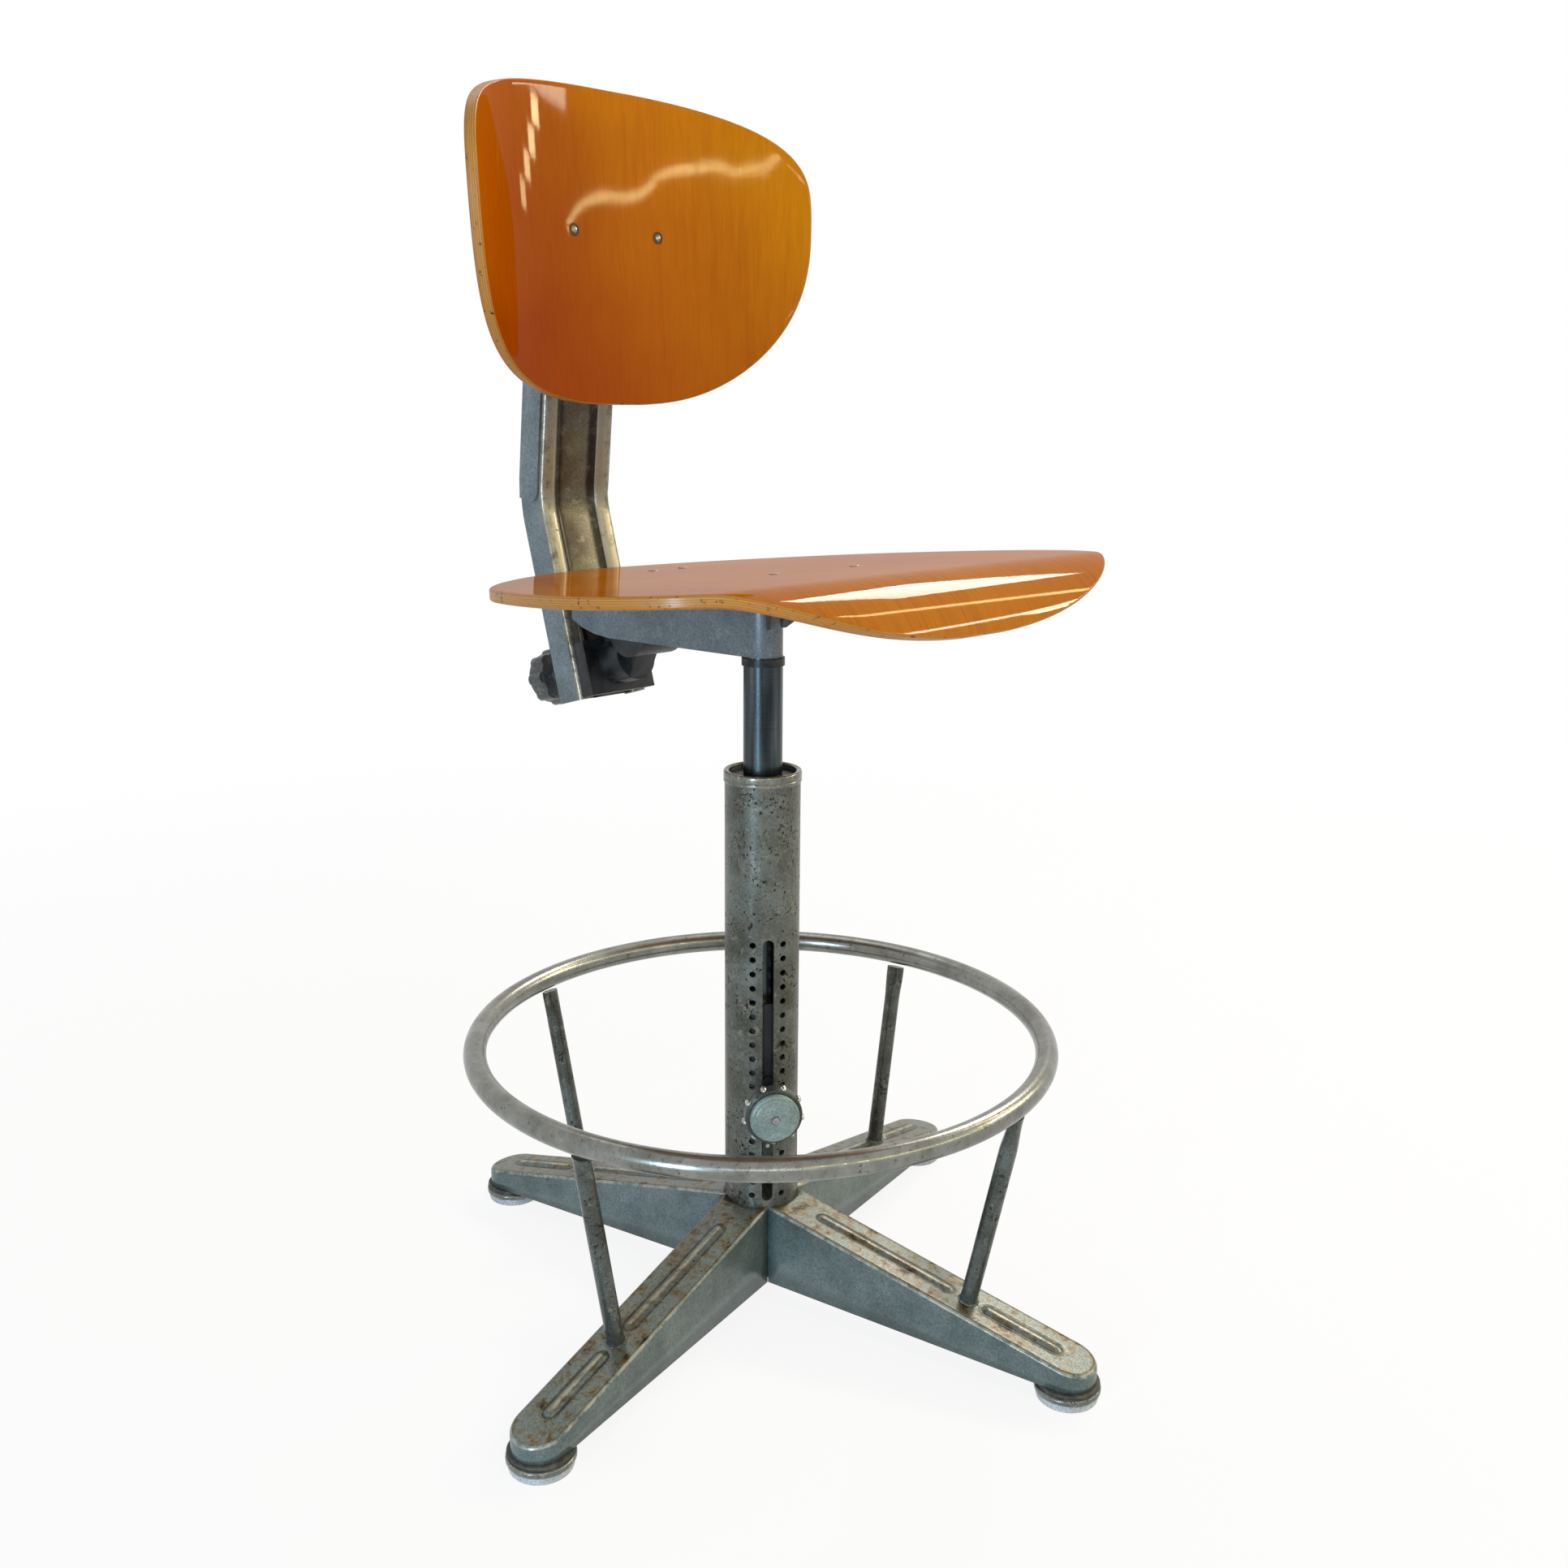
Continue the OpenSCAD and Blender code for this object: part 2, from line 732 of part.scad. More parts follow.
// the bracket's side view: level below, rising at the rear, sloped like the seat above
module bracket_side(d, drop) {
    top_front = seat_height - seat_ply - rest_gap - d;
    slope = tan(seat_slope);
    far = bracket_rear + 2;
    rise_start = 150;
    difference() {
        polygon([
            [-nose_radius - 2, top_front + slope * (nose_radius + 2)],
            [far, top_front - slope * far],
            [far, shoulder_height - drop], [-nose_radius - 2, shoulder_height - drop]
        ]);
        if (drop == 0)
            polygon([
                [rise_start, shoulder_height - 1], [rise_start, shoulder_height],
                [rise_start + 18, shoulder_height + 2], [rise_start + 32, shoulder_height + 6],
                [rise_start + 42, shoulder_height + 11], [far + 1, shoulder_height + 13],
                [far + 1, shoulder_height - 1]
            ]);
    }
}

module seat_bracket() {
    height = 2 * seat_height;
    color([0.45, 0.47, 0.47])
    difference() {
        intersection() {
            linear_extrude(height) bracket_plan(0);
            across_x(4 * bracket_half_w) bracket_side(0, 0);
        }
        intersection() {
            linear_extrude(height) bracket_plan(bracket_wall);
            across_x(4 * bracket_half_w) bracket_side(bracket_wall, 10);
        }
        translate([0, tilt_pin_y, tilt_pin_z])
            bar_x(tilt_pin_d / 2 + fit_gap, -bracket_half_w - 1, bracket_half_w + 1);
        in_seat() at_seat_screws()
            translate([0, 0, -4 * seat_ply]) cylinder(r = screw_r + fit_gap, h = 4 * seat_ply);
    }
}

module front_arm(side) {
    reach = sqrt(pow(front_screws[0], 2) + pow(front_screws[1], 2));
    turn = atan2(front_screws[1], side * front_screws[0]);
    plate_top = -seat_ply - rest_gap;
    color([0.2, 0.22, 0.24])
    difference() {
        in_seat() rotate([0, 0, turn]) {
            translate([0, -arm_half_w, plate_top - bracket_wall])
                cube([reach, 2 * arm_half_w, bracket_wall]);
            translate([reach, 0, plate_top - bracket_wall]) cylinder(r = arm_half_w, h = bracket_wall);
            rotate([90, 0, 0]) linear_extrude(arm_web_t, center = true)
                polygon([
                    [0, plate_top - bracket_wall / 2], [reach - 8, plate_top - bracket_wall / 2],
                    [reach - 8, plate_top - 5], [nose_radius, plate_top - arm_depth],
                    [0, plate_top - arm_depth]
                ]);
        }
        cylinder(r = nose_radius + fit_gap, h = 2 * seat_height);
        translate([side > 0 ? arm_gap - bracket_rear : -arm_gap, -bracket_rear, 0])
            cube([bracket_rear, 2 * bracket_rear, 2 * seat_height]);
        in_seat() at_seat_screws()
            translate([0, 0, -4 * seat_ply]) cylinder(r = screw_r + fit_gap, h = 4 * seat_ply);
    }
}
module front_arm_left() { front_arm(-1); }
module front_arm_right() { front_arm(1); }

module spindle() {
    stub_top = web_under - 4;
    color([0.18, 0.2, 0.22])
    difference() {
        union() {
            translate([0, 0, spindle_bottom]) cylinder(r = spindle_r, h = shoulder_height - spindle_bottom - fit_gap);
            translate([0, 0, shoulder_height - 1]) cylinder(r = stub_r, h = stub_top - shoulder_height + 1);
        }
        translate([0, 0, ball_z]) sphere(ball_r + ball_gap);
        tube(spindle_r + 1, spindle_r - ring_groove_depth, ring_groove_z, ring_groove_z + ring_t);
    }
}

module retaining_ring() {
    color([0.6, 0.6, 0.62])
    difference() {
        tube(spindle_r + 2.4, spindle_r - ring_groove_depth + fit_gap,
            ring_groove_z + fit_gap, ring_groove_z + ring_t - fit_gap);
        translate([0, -3, ring_groove_z - 1]) cube([spindle_d, 6, ring_t + 2]);
    }
}

module spindle_collar() {
    color([0.1, 0.1, 0.11])
    tube(collar_r, spindle_r + fit_gap, shoulder_height - collar_h - 1, shoulder_height - 1);
}

module tilt_pin() {
    color([0.5, 0.5, 0.5])
    intersection() {
        translate([0, tilt_pin_y, tilt_pin_z]) bar_x(tilt_pin_d / 2, -bracket_half_w, bracket_half_w);
        linear_extrude(2 * seat_height) bracket_plan(0);
    }
}

// ---- back post ----

module tilt_block() {
    py = tilt_pin_in_post[0];
    pz = tilt_pin_in_post[1];
    color([0.12, 0.13, 0.13])
    in_post()
    difference() {
        union() {
            bar_y(stud_boss_r, -stud_boss_len, 0);
            translate([-pad_half_w, -7, pad_low])
                cube([2 * pad_half_w, 7 + panel_y - slide_gap, pad_high - pad_low]);
            translate([block_side - post_w / 2, -block_depth, block_low])
                cube([post_w - 2 * block_side, block_depth - slide_gap, pad_high - block_low]);
            translate([0, py, pz]) bar_x(boss_r, -boss_half_w, boss_half_w);
            across_x(boss_half_w)
                polygon([
                    [0, pad_high], [0, -stud_boss_r + 2], [-stud_boss_len, -stud_boss_r + 2],
                    [py, pz - boss_r + 8], [py + 5, pz + boss_r - 4]
                ]);
        }
        translate([0, py, pz]) bar_x(tilt_pin_d / 2 + run_gap, -boss_half_w - 1, boss_half_w + 1);
        bar_y(back_stud_r + fit_gap, -stud_depth - 1, panel_y);
    }
}

module back_stud() {
    color([0.55, 0.55, 0.55]) in_post() bar_y(back_stud_r, -stud_depth, knob_grip_y + 8);
}

module back_washer() {
    color([0.65, 0.65, 0.65])
    in_post()
    difference() {
        bar_y(back_washer_r, panel_y + post_wall + slide_gap, panel_y + post_wall + slide_gap + back_washer_t);
        bar_y(back_stud_r + fit_gap, 0, 30);
    }
}

module back_knob() {
    grip_r = back_knob_d / 2;
    lobe_r = 6;
    color([0.42, 0.42, 0.42])
    in_post()
    difference() {
        union() {
            bar_y(12, knob_hub_y, knob_grip_y + 1);
            bar_y(grip_r - 3, knob_grip_y, knob_grip_y + knob_grip_t);
            for (i = [0 : back_knob_lobes - 1])
                rotate([0, 360 / back_knob_lobes * i, 0]) translate([0, 0, grip_r - lobe_r])
                    bar_y(lobe_r, knob_grip_y + 1, knob_grip_y + knob_grip_t - 2);
        }
        bar_y(8 + fit_gap, knob_hub_y - 1, knob_hub_y + 12);
        bar_y(back_stud_r + run_gap, knob_hub_y, knob_grip_y + 10);
    }
}

module back_knob_nut() {
    color([0.72, 0.6, 0.35])
    in_post()
    difference() {
        bar_y(8, knob_hub_y, knob_hub_y + 12 - fit_gap);
        bar_y(back_stud_r + run_gap, 0, 30);
    }
}

// half of the post's front, from a flange's edge to the sunk panel, as [x, depth], moved in by d
function post_half(d) =
    let (half = post_w / 2 - d, shift = d * 0.4)
    [
        [half, post_depth], [half, post_corner + shift], [half - post_corner + d * 0.6 - shift * 0.5, d],
        [panel_half_w + ridge_run + shift, d], [panel_half_w + shift, panel_y + d]
    ];
function post_profile(d) =
    let (half = post_half(d))
    concat(half, [for (i = [len(half) - 1 : -1 : 0]) [-half[i][0], half[i][1]]]);

// stations up the post, as [angle turned, length of straight run before or after the bend]
post_stations = concat(
    [[0, -post_tail - post_lower_len]],
    [for (i = [0 : bend_steps]) [post_bend * i / bend_steps, 0]],
    [[post_bend, post_upper_len]]
);
function post_point(p, station) =
    let (a = station[0], run = station[1], r = post_bend_radius + p[1])
    [
        p[0],
        -post_bend_radius + r * cos(a) - run * sin(a),
        post_lower_len + r * sin(a) + run * cos(a)
    ];
function post_face(d) = [for (station = post_stations) [for (p = post_profile(d)) post_point(p, station)]];

module back_stem() {
    color([0.52, 0.54, 0.54])
    difference() {
        in_post() sheet_solid(post_face(0), post_face(post_wall));
        in_post() {
            translate([-back_slot_r, 0, 0]) cube([2 * back_slot_r, 2 * post_corner + 5, post_travel + 1]);
            for (z = [0, post_travel + 1]) translate([0, 0, z]) bar_y(back_slot_r, 0, 12);
        }
        in_upper() for (spot = rivet_spots)
            translate([0, spot[0], spot[1]]) bar_x(rivet_r + fit_gap, -post_w, post_w);
    }
}

module cheek_side() {
    polygon([
        [post_depth, 0], [post_depth - 1.5, cheek_low], [cheek_front + 5, cheek_low],
        [cheek_front + 2, cheek_low + 2], [cheek_front, cheek_low + 7], [cheek_front, ear_low],
        [-back_pin_reach - ear_r, back_pin_rise - 1], [-back_pin_reach, back_pin_rise + ear_r],
        [cheek_front, cheek_top - 12], [cheek_front + 4, cheek_top], [post_depth, cheek_top]
    ]);
    translate([-back_pin_reach, back_pin_rise]) circle(ear_r);
}

module post_cheeks() {
    middle = post_w / 2 + cheek_gap + cheek_sheet / 2;
    color([0.5, 0.54, 0.55])
    in_upper()
    difference() {
        for (side = [-1, 1])
            translate([side * middle, 0, 0]) across_x(cheek_sheet) cheek_side();
        translate([0, -back_pin_reach, back_pin_rise]) bar_x(back_pin_r + fit_gap, -post_w, post_w);
        for (spot = rivet_spots)
            translate([0, spot[0], spot[1]]) bar_x(rivet_r + fit_gap, -post_w, post_w);
    }
}

module cheek_rivets() {
    inner = post_w / 2 - post_wall;
    outer = post_w / 2 + cheek_gap + cheek_sheet;
    color([0.6, 0.6, 0.6])
    in_upper() for (spot = rivet_spots, side = [-1, 1])
        translate([0, spot[0], spot[1]]) mirror([side < 0 ? 1 : 0, 0, 0]) {
            bar_x(rivet_r, inner - 1, outer + 1);
            bar_x(4.5, inner - 1.5, inner - fit_gap);
            bar_x(4.5, outer + fit_gap, outer + 1.6);
        }
}

module cheek_pin() {
    end = post_w / 2 + cheek_gap + cheek_sheet;
    color([0.6, 0.6, 0.6])
    in_upper() translate([0, -back_pin_reach, back_pin_rise]) {
        bar_x(back_pin_r, -end - 1, end + 1);
        for (x = [-end - 2, end + fit_gap]) bar_x(back_pin_r + 2, x, x + 2 - fit_gap);
    }
}

// ---- back ----

function back_part(a) = a > 0 ? back_above : back_below;
function back_power(a) = a > 0 ? back_upper_power : back_lower_power;
function back_rise(a) = back_part(a) * sign(a) * pow(abs(sin(a)), 2 / back_power(a));
function back_side(a) = back_half_w * pow(cos(a), 2 / back_power(a)) * (1 + 0.02 * back_rise(a) / 130);
function curl(x) = back_curl * pow(abs(x) / back_curl_at, back_curl_power);
function curl_angle(x) =
    atan(back_curl * back_curl_power / back_curl_at * pow(abs(x) / back_curl_at, back_curl_power - 1))
    * sign(x);
function back_point(x, z, d) = [
    x + d * sin(curl_angle(x)), -curl(x) + d * cos(curl_angle(x)), z
];
function back_face(d) = [
    for (i = [0 : back_rows])
        let (a = -87 + 174 * i / back_rows)
        [for (j = [0 : back_cols]) back_point(back_side(a) * (1 - 2 * j / back_cols), back_rise(a), d)]
];

module at_back_screws() {
    for (side = [-1, 1]) translate([side * back_screw_x, 0, -back_screw_drop]) children();
}

module backrest_shell() {
    color([0.76, 0.46, 0.12])
    in_back()
    difference() {
        sheet_solid(back_face(0), back_face(back_ply));
        at_back_screws() bar_y(screw_r + fit_gap, -2 * back_ply, 3 * back_ply);
    }
}

module backrest_hinge() {
    py = back_pin_in_back[0];
    pz = back_pin_in_back[1];
    y0 = back_ply + rest_gap;
    color([0.4, 0.42, 0.42])
    in_back()
    difference() {
        union() {
            translate([-hinge_plate_half_w, y0, -back_screw_drop - hinge_plate_half_h])
                cube([2 * hinge_plate_half_w, hinge_plate_t, 2 * hinge_plate_half_h]);
            for (side = [-1, 1])
                translate([side * (lug_x + lug_t / 2), 0, 0]) {
                    translate([0, py, pz]) bar_x(lug_r, -lug_t / 2, lug_t / 2);
                    translate([-lug_t / 2, y0 + 1, pz - lug_r]) cube([lug_t, py - y0 - 1, 2 * lug_r]);
                }
        }
        translate([0, py, pz]) bar_x(back_pin_r + run_gap, -post_w, post_w);
        at_back_screws() bar_y(screw_r + fit_gap, 0, 30);
    }
}

module backrest_screws() {
    y_end = back_ply + rest_gap + hinge_plate_t + nut_h;
    head_y = -curl(back_screw_x);
    color([0.5, 0.45, 0.38])
    in_back() at_back_screws() {
        bar_y(screw_r, head_y - 0.8, y_end);
        translate([0, head_y - 0.4, 0]) rotate([90, 0, 0]) cylinder(r1 = 5, r2 = 3.8, h = 1);
    }
}

module backrest_nuts() {
    y0 = back_ply + rest_gap + hinge_plate_t;
    color([0.6, 0.6, 0.58])
    in_back() at_back_screws()
        difference() {
            translate([0, y0 + fit_gap, 0]) rotate([-90, 0, 0]) cylinder(r = nut_r, h = nut_h, $fn = 6);
            bar_y(screw_r + fit_gap, 0, 40);
        }
}

column_tube();
column_rim();
top_bush();
for (i = [1 : leg_count]) leg(i - 1);
for (i = [1 : leg_count]) foot_cup(i - 1);
for (i = [1 : leg_count]) glide(i - 1);
foot_ring();
for (i = [1 : leg_count]) strut(i - 1);
carrier_sleeve();
guide_key();
key_screws();
carrier_floor();
thrust_ball();
lower_bush();
knob_washer();
index_plate();
clamp_bolt();
knob_rim();
knob_cap();
knob_screw();
spindle();
retaining_ring();
spindle_collar();
seat_bracket();
front_arm_left();
front_arm_right();
seat_shell();
seat_screws();
seat_nuts();
tilt_pin();
tilt_block();
back_stud();
back_washer();
back_knob();
back_knob_nut();
back_stem();
post_cheeks();
cheek_rivets();
cheek_pin();
backrest_shell();
backrest_hinge();
backrest_screws();
backrest_nuts();
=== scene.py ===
"""Looks for the drafting chair: plywood seat and back, hammered grey paint, a nickelled foot ring."""

import math

import bmesh
import bpy
import numpy as np
from mathutils import Matrix, Vector


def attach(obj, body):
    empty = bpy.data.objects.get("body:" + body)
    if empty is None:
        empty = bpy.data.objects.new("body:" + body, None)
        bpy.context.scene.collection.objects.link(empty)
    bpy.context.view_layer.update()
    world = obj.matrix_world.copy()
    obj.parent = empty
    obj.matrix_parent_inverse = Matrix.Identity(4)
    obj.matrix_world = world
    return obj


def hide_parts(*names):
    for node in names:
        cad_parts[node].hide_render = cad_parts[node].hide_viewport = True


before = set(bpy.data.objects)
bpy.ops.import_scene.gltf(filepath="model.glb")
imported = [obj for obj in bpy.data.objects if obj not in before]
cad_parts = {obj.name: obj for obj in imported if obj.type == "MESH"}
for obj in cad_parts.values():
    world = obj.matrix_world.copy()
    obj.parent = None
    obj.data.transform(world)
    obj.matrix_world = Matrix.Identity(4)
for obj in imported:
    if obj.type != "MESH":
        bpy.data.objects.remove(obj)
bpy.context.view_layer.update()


# ---- Column ----
# Drawn steel tube, sprayed with a silver-grey hammered enamel that has worn thin with use. A guide
# slot and two rows of punched index holes run up its front.
def linear(code):
    """An sRGB hex colour as a linear one."""
    parts = [int(code[i : i + 2], 16) / 255 for i in (1, 3, 5)]
    return tuple(p / 12.92 if p < 0.04045 else ((p + 0.055) / 1.055) ** 2.4 for p in parts) + (1.0,)


def add(tree, kind, values=None, links=None, ramp=None, **settings):
    """Adds a node with its settings, its sockets' values, its links and its ramp's stops."""
    node = tree.nodes.new(kind)
    for name, value in settings.items():
        setattr(node, name, value)
    for socket, value in (values or {}).items():
        node.inputs[socket].default_value = value
    for socket, source in (links or {}).items():
        tree.links.new(source, node.inputs[socket])
    if ramp:
        stops = node.color_ramp.elements
        while len(stops) < len(ramp):
            stops.new(1.0)
        for stop, (place, colour) in zip(stops, ramp):
            stop.position = place
            stop.color = linear(colour) if isinstance(colour, str) else (colour, colour, colour, 1.0)
    return node


def finish_named(name, values):
    """An empty finish: its tree, its shader and its object coordinates."""
    material = bpy.data.materials.new(name)
    material.use_nodes = True
    tree = material.node_tree
    shader = tree.nodes["Principled BSDF"]
    for socket, value in values.items():
        shader.inputs[socket].default_value = value
    place = add(tree, "ShaderNodeTexCoord")
    return material, tree, shader, place


def blended(tree, factor, first, second, mode="MIX"):
    """Two colours mixed; each is a hex code or a socket."""
    node = add(tree, "ShaderNodeMix", data_type="RGBA", blend_type=mode)
    for socket, value in ((0, factor), (6, first), (7, second)):
        if isinstance(value, str):
            node.inputs[socket].default_value = linear(value)
        elif isinstance(value, (int, float)):
            node.inputs[socket].default_value = value
        else:
            tree.links.new(value, node.inputs[socket])
    return node.outputs[2]


def hammered_enamel(
    name, light, shade, worn, dirt, specks=0.5, top=None, rub_and_light=False, roughness=0.36, metal=0.7, patchy=0.6,
):
    """Silver-grey hammered enamel: 1.5 mm dimples, cloudy fading, dark pits and rubbed patches."""
    material, tree, shader, place = finish_named(
        name, {"Metallic": metal, "Roughness": roughness, "Specular IOR Level": 0.25},
    )
    spot = place.outputs["Object"]
    cloud = add(
        tree, "ShaderNodeTexNoise", {"Scale": 24.0, "Detail": 5.0, "Roughness": 0.6}, {"Vector": spot},
    )
    clouds = add(
        tree, "ShaderNodeValToRGB", links={"Fac": cloud.outputs["Fac"]}, ramp=[(0.36, 0.0), (0.64, 1.0)],
    )
    colour = blended(tree, clouds.outputs["Color"], light, shade)
    if top:
        # what faces up is trodden and stained, in blotches about 15 mm across
        normal = add(tree, "ShaderNodeSeparateXYZ", links={"Vector": place.outputs["Normal"]})
        facing = add(
            tree, "ShaderNodeValToRGB", links={"Fac": normal.outputs["Z"]}, ramp=[(0.6, 0.0), (0.9, 1.0)],
        )
        blotch = add(
            tree, "ShaderNodeTexNoise", {"Scale": 60.0, "Detail": 6.0, "Roughness": 0.7}, {"Vector": spot},
        )
        blotches = add(
            tree, "ShaderNodeValToRGB", links={"Fac": blotch.outputs["Fac"]},
            ramp=[(0.34, dirt), (0.43, top), (0.54, light), (0.6, top), (0.72, dirt)],
        )
        colour = blended(tree, facing.outputs["Color"], colour, blotches.outputs["Color"])
    patch = add(
        tree, "ShaderNodeTexNoise", {"Scale": 90.0, "Detail": 6.0, "Roughness": 0.75}, {"Vector": spot},
    )
    patches = add(
        tree, "ShaderNodeValToRGB", links={"Fac": patch.outputs["Fac"]}, ramp=[(0.54, 0.0), (0.68, 1.0)],
    )
    rubbed = add(tree, "ShaderNodeMath", {1: patchy}, {0: patches.outputs["Color"]}, operation="MULTIPLY")
    colour = blended(tree, rubbed.outputs[0], colour, worn)
    grain = add(
        tree, "ShaderNodeTexNoise", {"Scale": 560.0, "Detail": 2.0, "Roughness": 0.7}, {"Vector": spot},
    )
    grains = add(
        tree, "ShaderNodeValToRGB", links={"Fac": grain.outputs["Fac"]}, ramp=[(0.34, 0.38), (0.62, 1.0)],
    )
    colour = blended(tree, 0.6, colour, grains.outputs["Color"], "MULTIPLY")
    pit = add(
        tree, "ShaderNodeTexNoise", {"Scale": 330.0, "Detail": 4.0, "Roughness": 0.7}, {"Vector": spot},
    )
    field = add(tree, "ShaderNodeTexNoise", {"Scale": 45.0, "Detail": 3.0}, {"Vector": spot})
    mask = add(
        tree, "ShaderNodeMath", {1: 0.35}, {0: field.outputs["Fac"], 2: pit.outputs["Fac"]},
        operation="MULTIPLY_ADD",
    )
    low = 0.88 - 0.14 * specks
    pits = add(
        tree, "ShaderNodeValToRGB", links={"Fac": mask.outputs[0]}, ramp=[(low, 0.0), (low + 0.05, 1.0)],
    )
    colour = blended(tree, pits.outputs["Color"], colour, dirt)
    if rub_and_light:
        # the piece's own attribute says where folds are rubbed bright with a painted highlight (towards 1)
        # and where grooves get painted shade (towards 0)
        wear_and_light = add(tree, "ShaderNodeAttribute", attribute_name="rub_and_light")
        rough_edge = add(
            tree, "ShaderNodeMath", {1: 0.5}, {0: patch.outputs["Fac"], 2: wear_and_light.outputs["Fac"]},
            operation="MULTIPLY_ADD",
        )
        bright = add(
            tree, "ShaderNodeValToRGB", links={"Fac": rough_edge.outputs[0]},
            ramp=[(0.92, 0.0), (1.08, 0.85)],
        )
        painted_groove_shade = add(
            tree, "ShaderNodeValToRGB", links={"Fac": rough_edge.outputs[0]},
            ramp=[(0.36, 0.9), (0.58, 0.0)],
        )
        colour = blended(tree, bright.outputs["Color"], colour, worn)
        colour = blended(tree, painted_groove_shade.outputs["Color"], colour, dirt)
    tree.links.new(colour, shader.inputs["Base Color"])
    dull = add(
        tree, "ShaderNodeMapRange", {3: roughness - 0.05, 4: roughness + 0.3}, {0: pits.outputs["Color"]},
    )
    tree.links.new(dull.outputs[0], shader.inputs["Roughness"])
    bump = add(
        tree, "ShaderNodeBump", {"Strength": 0.4, "Distance": 0.0003}, {"Height": grain.outputs["Fac"]},
    )
    tree.links.new(bump.outputs[0], shader.inputs["Normal"])
    return material


def dress(material, *nodes):
    """Gives CAD nodes a finish."""
    for name in nodes:
        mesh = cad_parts[name].data
        mesh.materials.clear()
        mesh.materials.append(material)


column_enamel = hammered_enamel(
    "hammered_enamel_column", "#71746D", "#504F45", "#949082", "#201B14", specks=0.8, roughness=0.4,
    metal=0.5,
)
dress(column_enamel, "column_tube")


# ---- Column rim and top bush ----
# The tube's mouth is rolled over into a bright band with a groove under it. A dark oiled bush sits
# inside the mouth and guides the spindle.
TURN = 2 * math.pi


def lathe(profile, segments=96):
    """Vertices and faces of a profile of [radius, height] turned about Z; ends on the axis are closed."""
    verts, faces, rings = [], [], []
    for radius, height in profile:
        if radius < 1e-7:
            rings.append([len(verts)] * segments)
            verts.append((0.0, 0.0, height))
        else:
            rings.append(list(range(len(verts), len(verts) + segments)))
            verts += [
                (radius * math.cos(TURN * k / segments), radius * math.sin(TURN * k / segments), height)
                for k in range(segments)
            ]
    for lower, upper in zip(rings, rings[1:]):
        for k in range(segments):
            n = (k + 1) % segments
            face = [lower[k], lower[n], upper[n], upper[k]]
            face = [v for i, v in enumerate(face) if v not in face[:i]]
            if len(face) > 2:
                faces.append(face)
    return verts, faces


def rounded(corners, radius=0.0004, steps=3):
    """A profile with each inner corner cut by a small arc."""
    out = [corners[0]]
    for before, here, after in zip(corners, corners[1:], corners[2:]):
        a = Vector(before) - Vector(here)
        b = Vector(after) - Vector(here)
        reach = min(radius, a.length * 0.45, b.length * 0.45)
        start = Vector(here) + a.normalized() * reach
        end = Vector(here) + b.normalized() * reach
        for k in range(steps + 1):
            t = k / steps
            bent = start * (1 - t) ** 2 + Vector(here) * 2 * t * (1 - t) + end * t**2
            out.append((bent.x, bent.y))
    return out + [corners[-1]]


def piece(name, verts, faces, material, body, cad=(), place=None, smooth=40, slots=None):
    """A mesh piece riding on a body, standing for CAD nodes."""
    mesh = bpy.data.meshes.new(name)
    mesh.from_pydata([tuple(v) for v in verts], [], faces)
    if place is not None:
        mesh.transform(place)
    mesh.validate()
    work = bmesh.new()
    work.from_mesh(mesh)
    bmesh.ops.recalc_face_normals(work, faces=work.faces)
    for face in work.faces:
        face.smooth = True
    for edge in work.edges:
        if len(edge.link_faces) == 2:
            edge.smooth = edge.calc_face_angle(0) < math.radians(smooth)
    work.to_mesh(mesh)
    work.free()
    for one in material if isinstance(material, (list, tuple)) else [material]:
        mesh.materials.append(one)
    if slots is not None:
        mesh.polygons.foreach_set("material_index", slots)
    thing = bpy.data.objects.new(name, mesh)
    bpy.context.scene.collection.objects.link(thing)
    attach(thing, body)
    if cad:
        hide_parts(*cad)
    return thing


rim_enamel = hammered_enamel(
    "burnished_enamel_rim", "#8E8E83", "#6B6A61", "#C2BDAC", "#2B251F", specks=0.5, roughness=0.26,
    metal=0.65,
)
rim_profile = rounded(
    [
        (0.03005, 0.4425), (0.0306, 0.4421), (0.0309, 0.4430), (0.0309, 0.4446), (0.0303, 0.4453),
        (0.0309, 0.4460),
        (0.0309, 0.4500), (0.0301, 0.4515), (0.0284, 0.4515), (0.0266, 0.4508), (0.0266, 0.45005),
        (0.03005, 0.45005), (0.03005, 0.4425),
    ],
    0.0007,
)
piece("column_rim_band", *lathe(rim_profile), rim_enamel, "base", ["column_rim"])


def oiled_black(name, colour, worn, roughness=0.35, metal=0.6, scale=90.0):
    """Blackened, oiled steel or iron: brownish smears and rubbed edges about 10 mm apart."""
    material, tree, shader, place = finish_named(name, {"Metallic": metal})
    smear = add(
        tree, "ShaderNodeTexNoise", {"Scale": scale, "Detail": 5.0}, {"Vector": place.outputs["Object"]},
    )
    smears = add(
        tree, "ShaderNodeValToRGB", links={"Fac": smear.outputs["Fac"]}, ramp=[(0.42, colour), (0.7, worn)],
    )
    fine = add(tree, "ShaderNodeTexNoise", {"Scale": 700.0}, {"Vector": place.outputs["Object"]})
    tree.links.new(
        blended(tree, 0.4, smears.outputs["Color"], fine.outputs["Color"], "OVERLAY"),
        shader.inputs["Base Color"],
    )
    dull = add(
        tree, "ShaderNodeMapRange", {3: roughness - 0.1, 4: roughness + 0.2}, {0: smear.outputs["Fac"]},
    )
    tree.links.new(dull.outputs[0], shader.inputs["Roughness"])
    bump = add(
        tree, "ShaderNodeBump", {"Strength": 0.25, "Distance": 0.0003}, {"Height": fine.outputs["Fac"]},
    )
    tree.links.new(bump.outputs[0], shader.inputs["Normal"])
    return material


# the same near-black iron on the spindle collar is painted shade: it darkens the band round the spindle
# under the bracket
bush_iron_and_collar_shade = oiled_black("oiled_iron_and_collar_painted_shade", "#14171A", "#3A3B38")
dress(bush_iron_and_collar_shade, "top_bush", "spindle_collar")
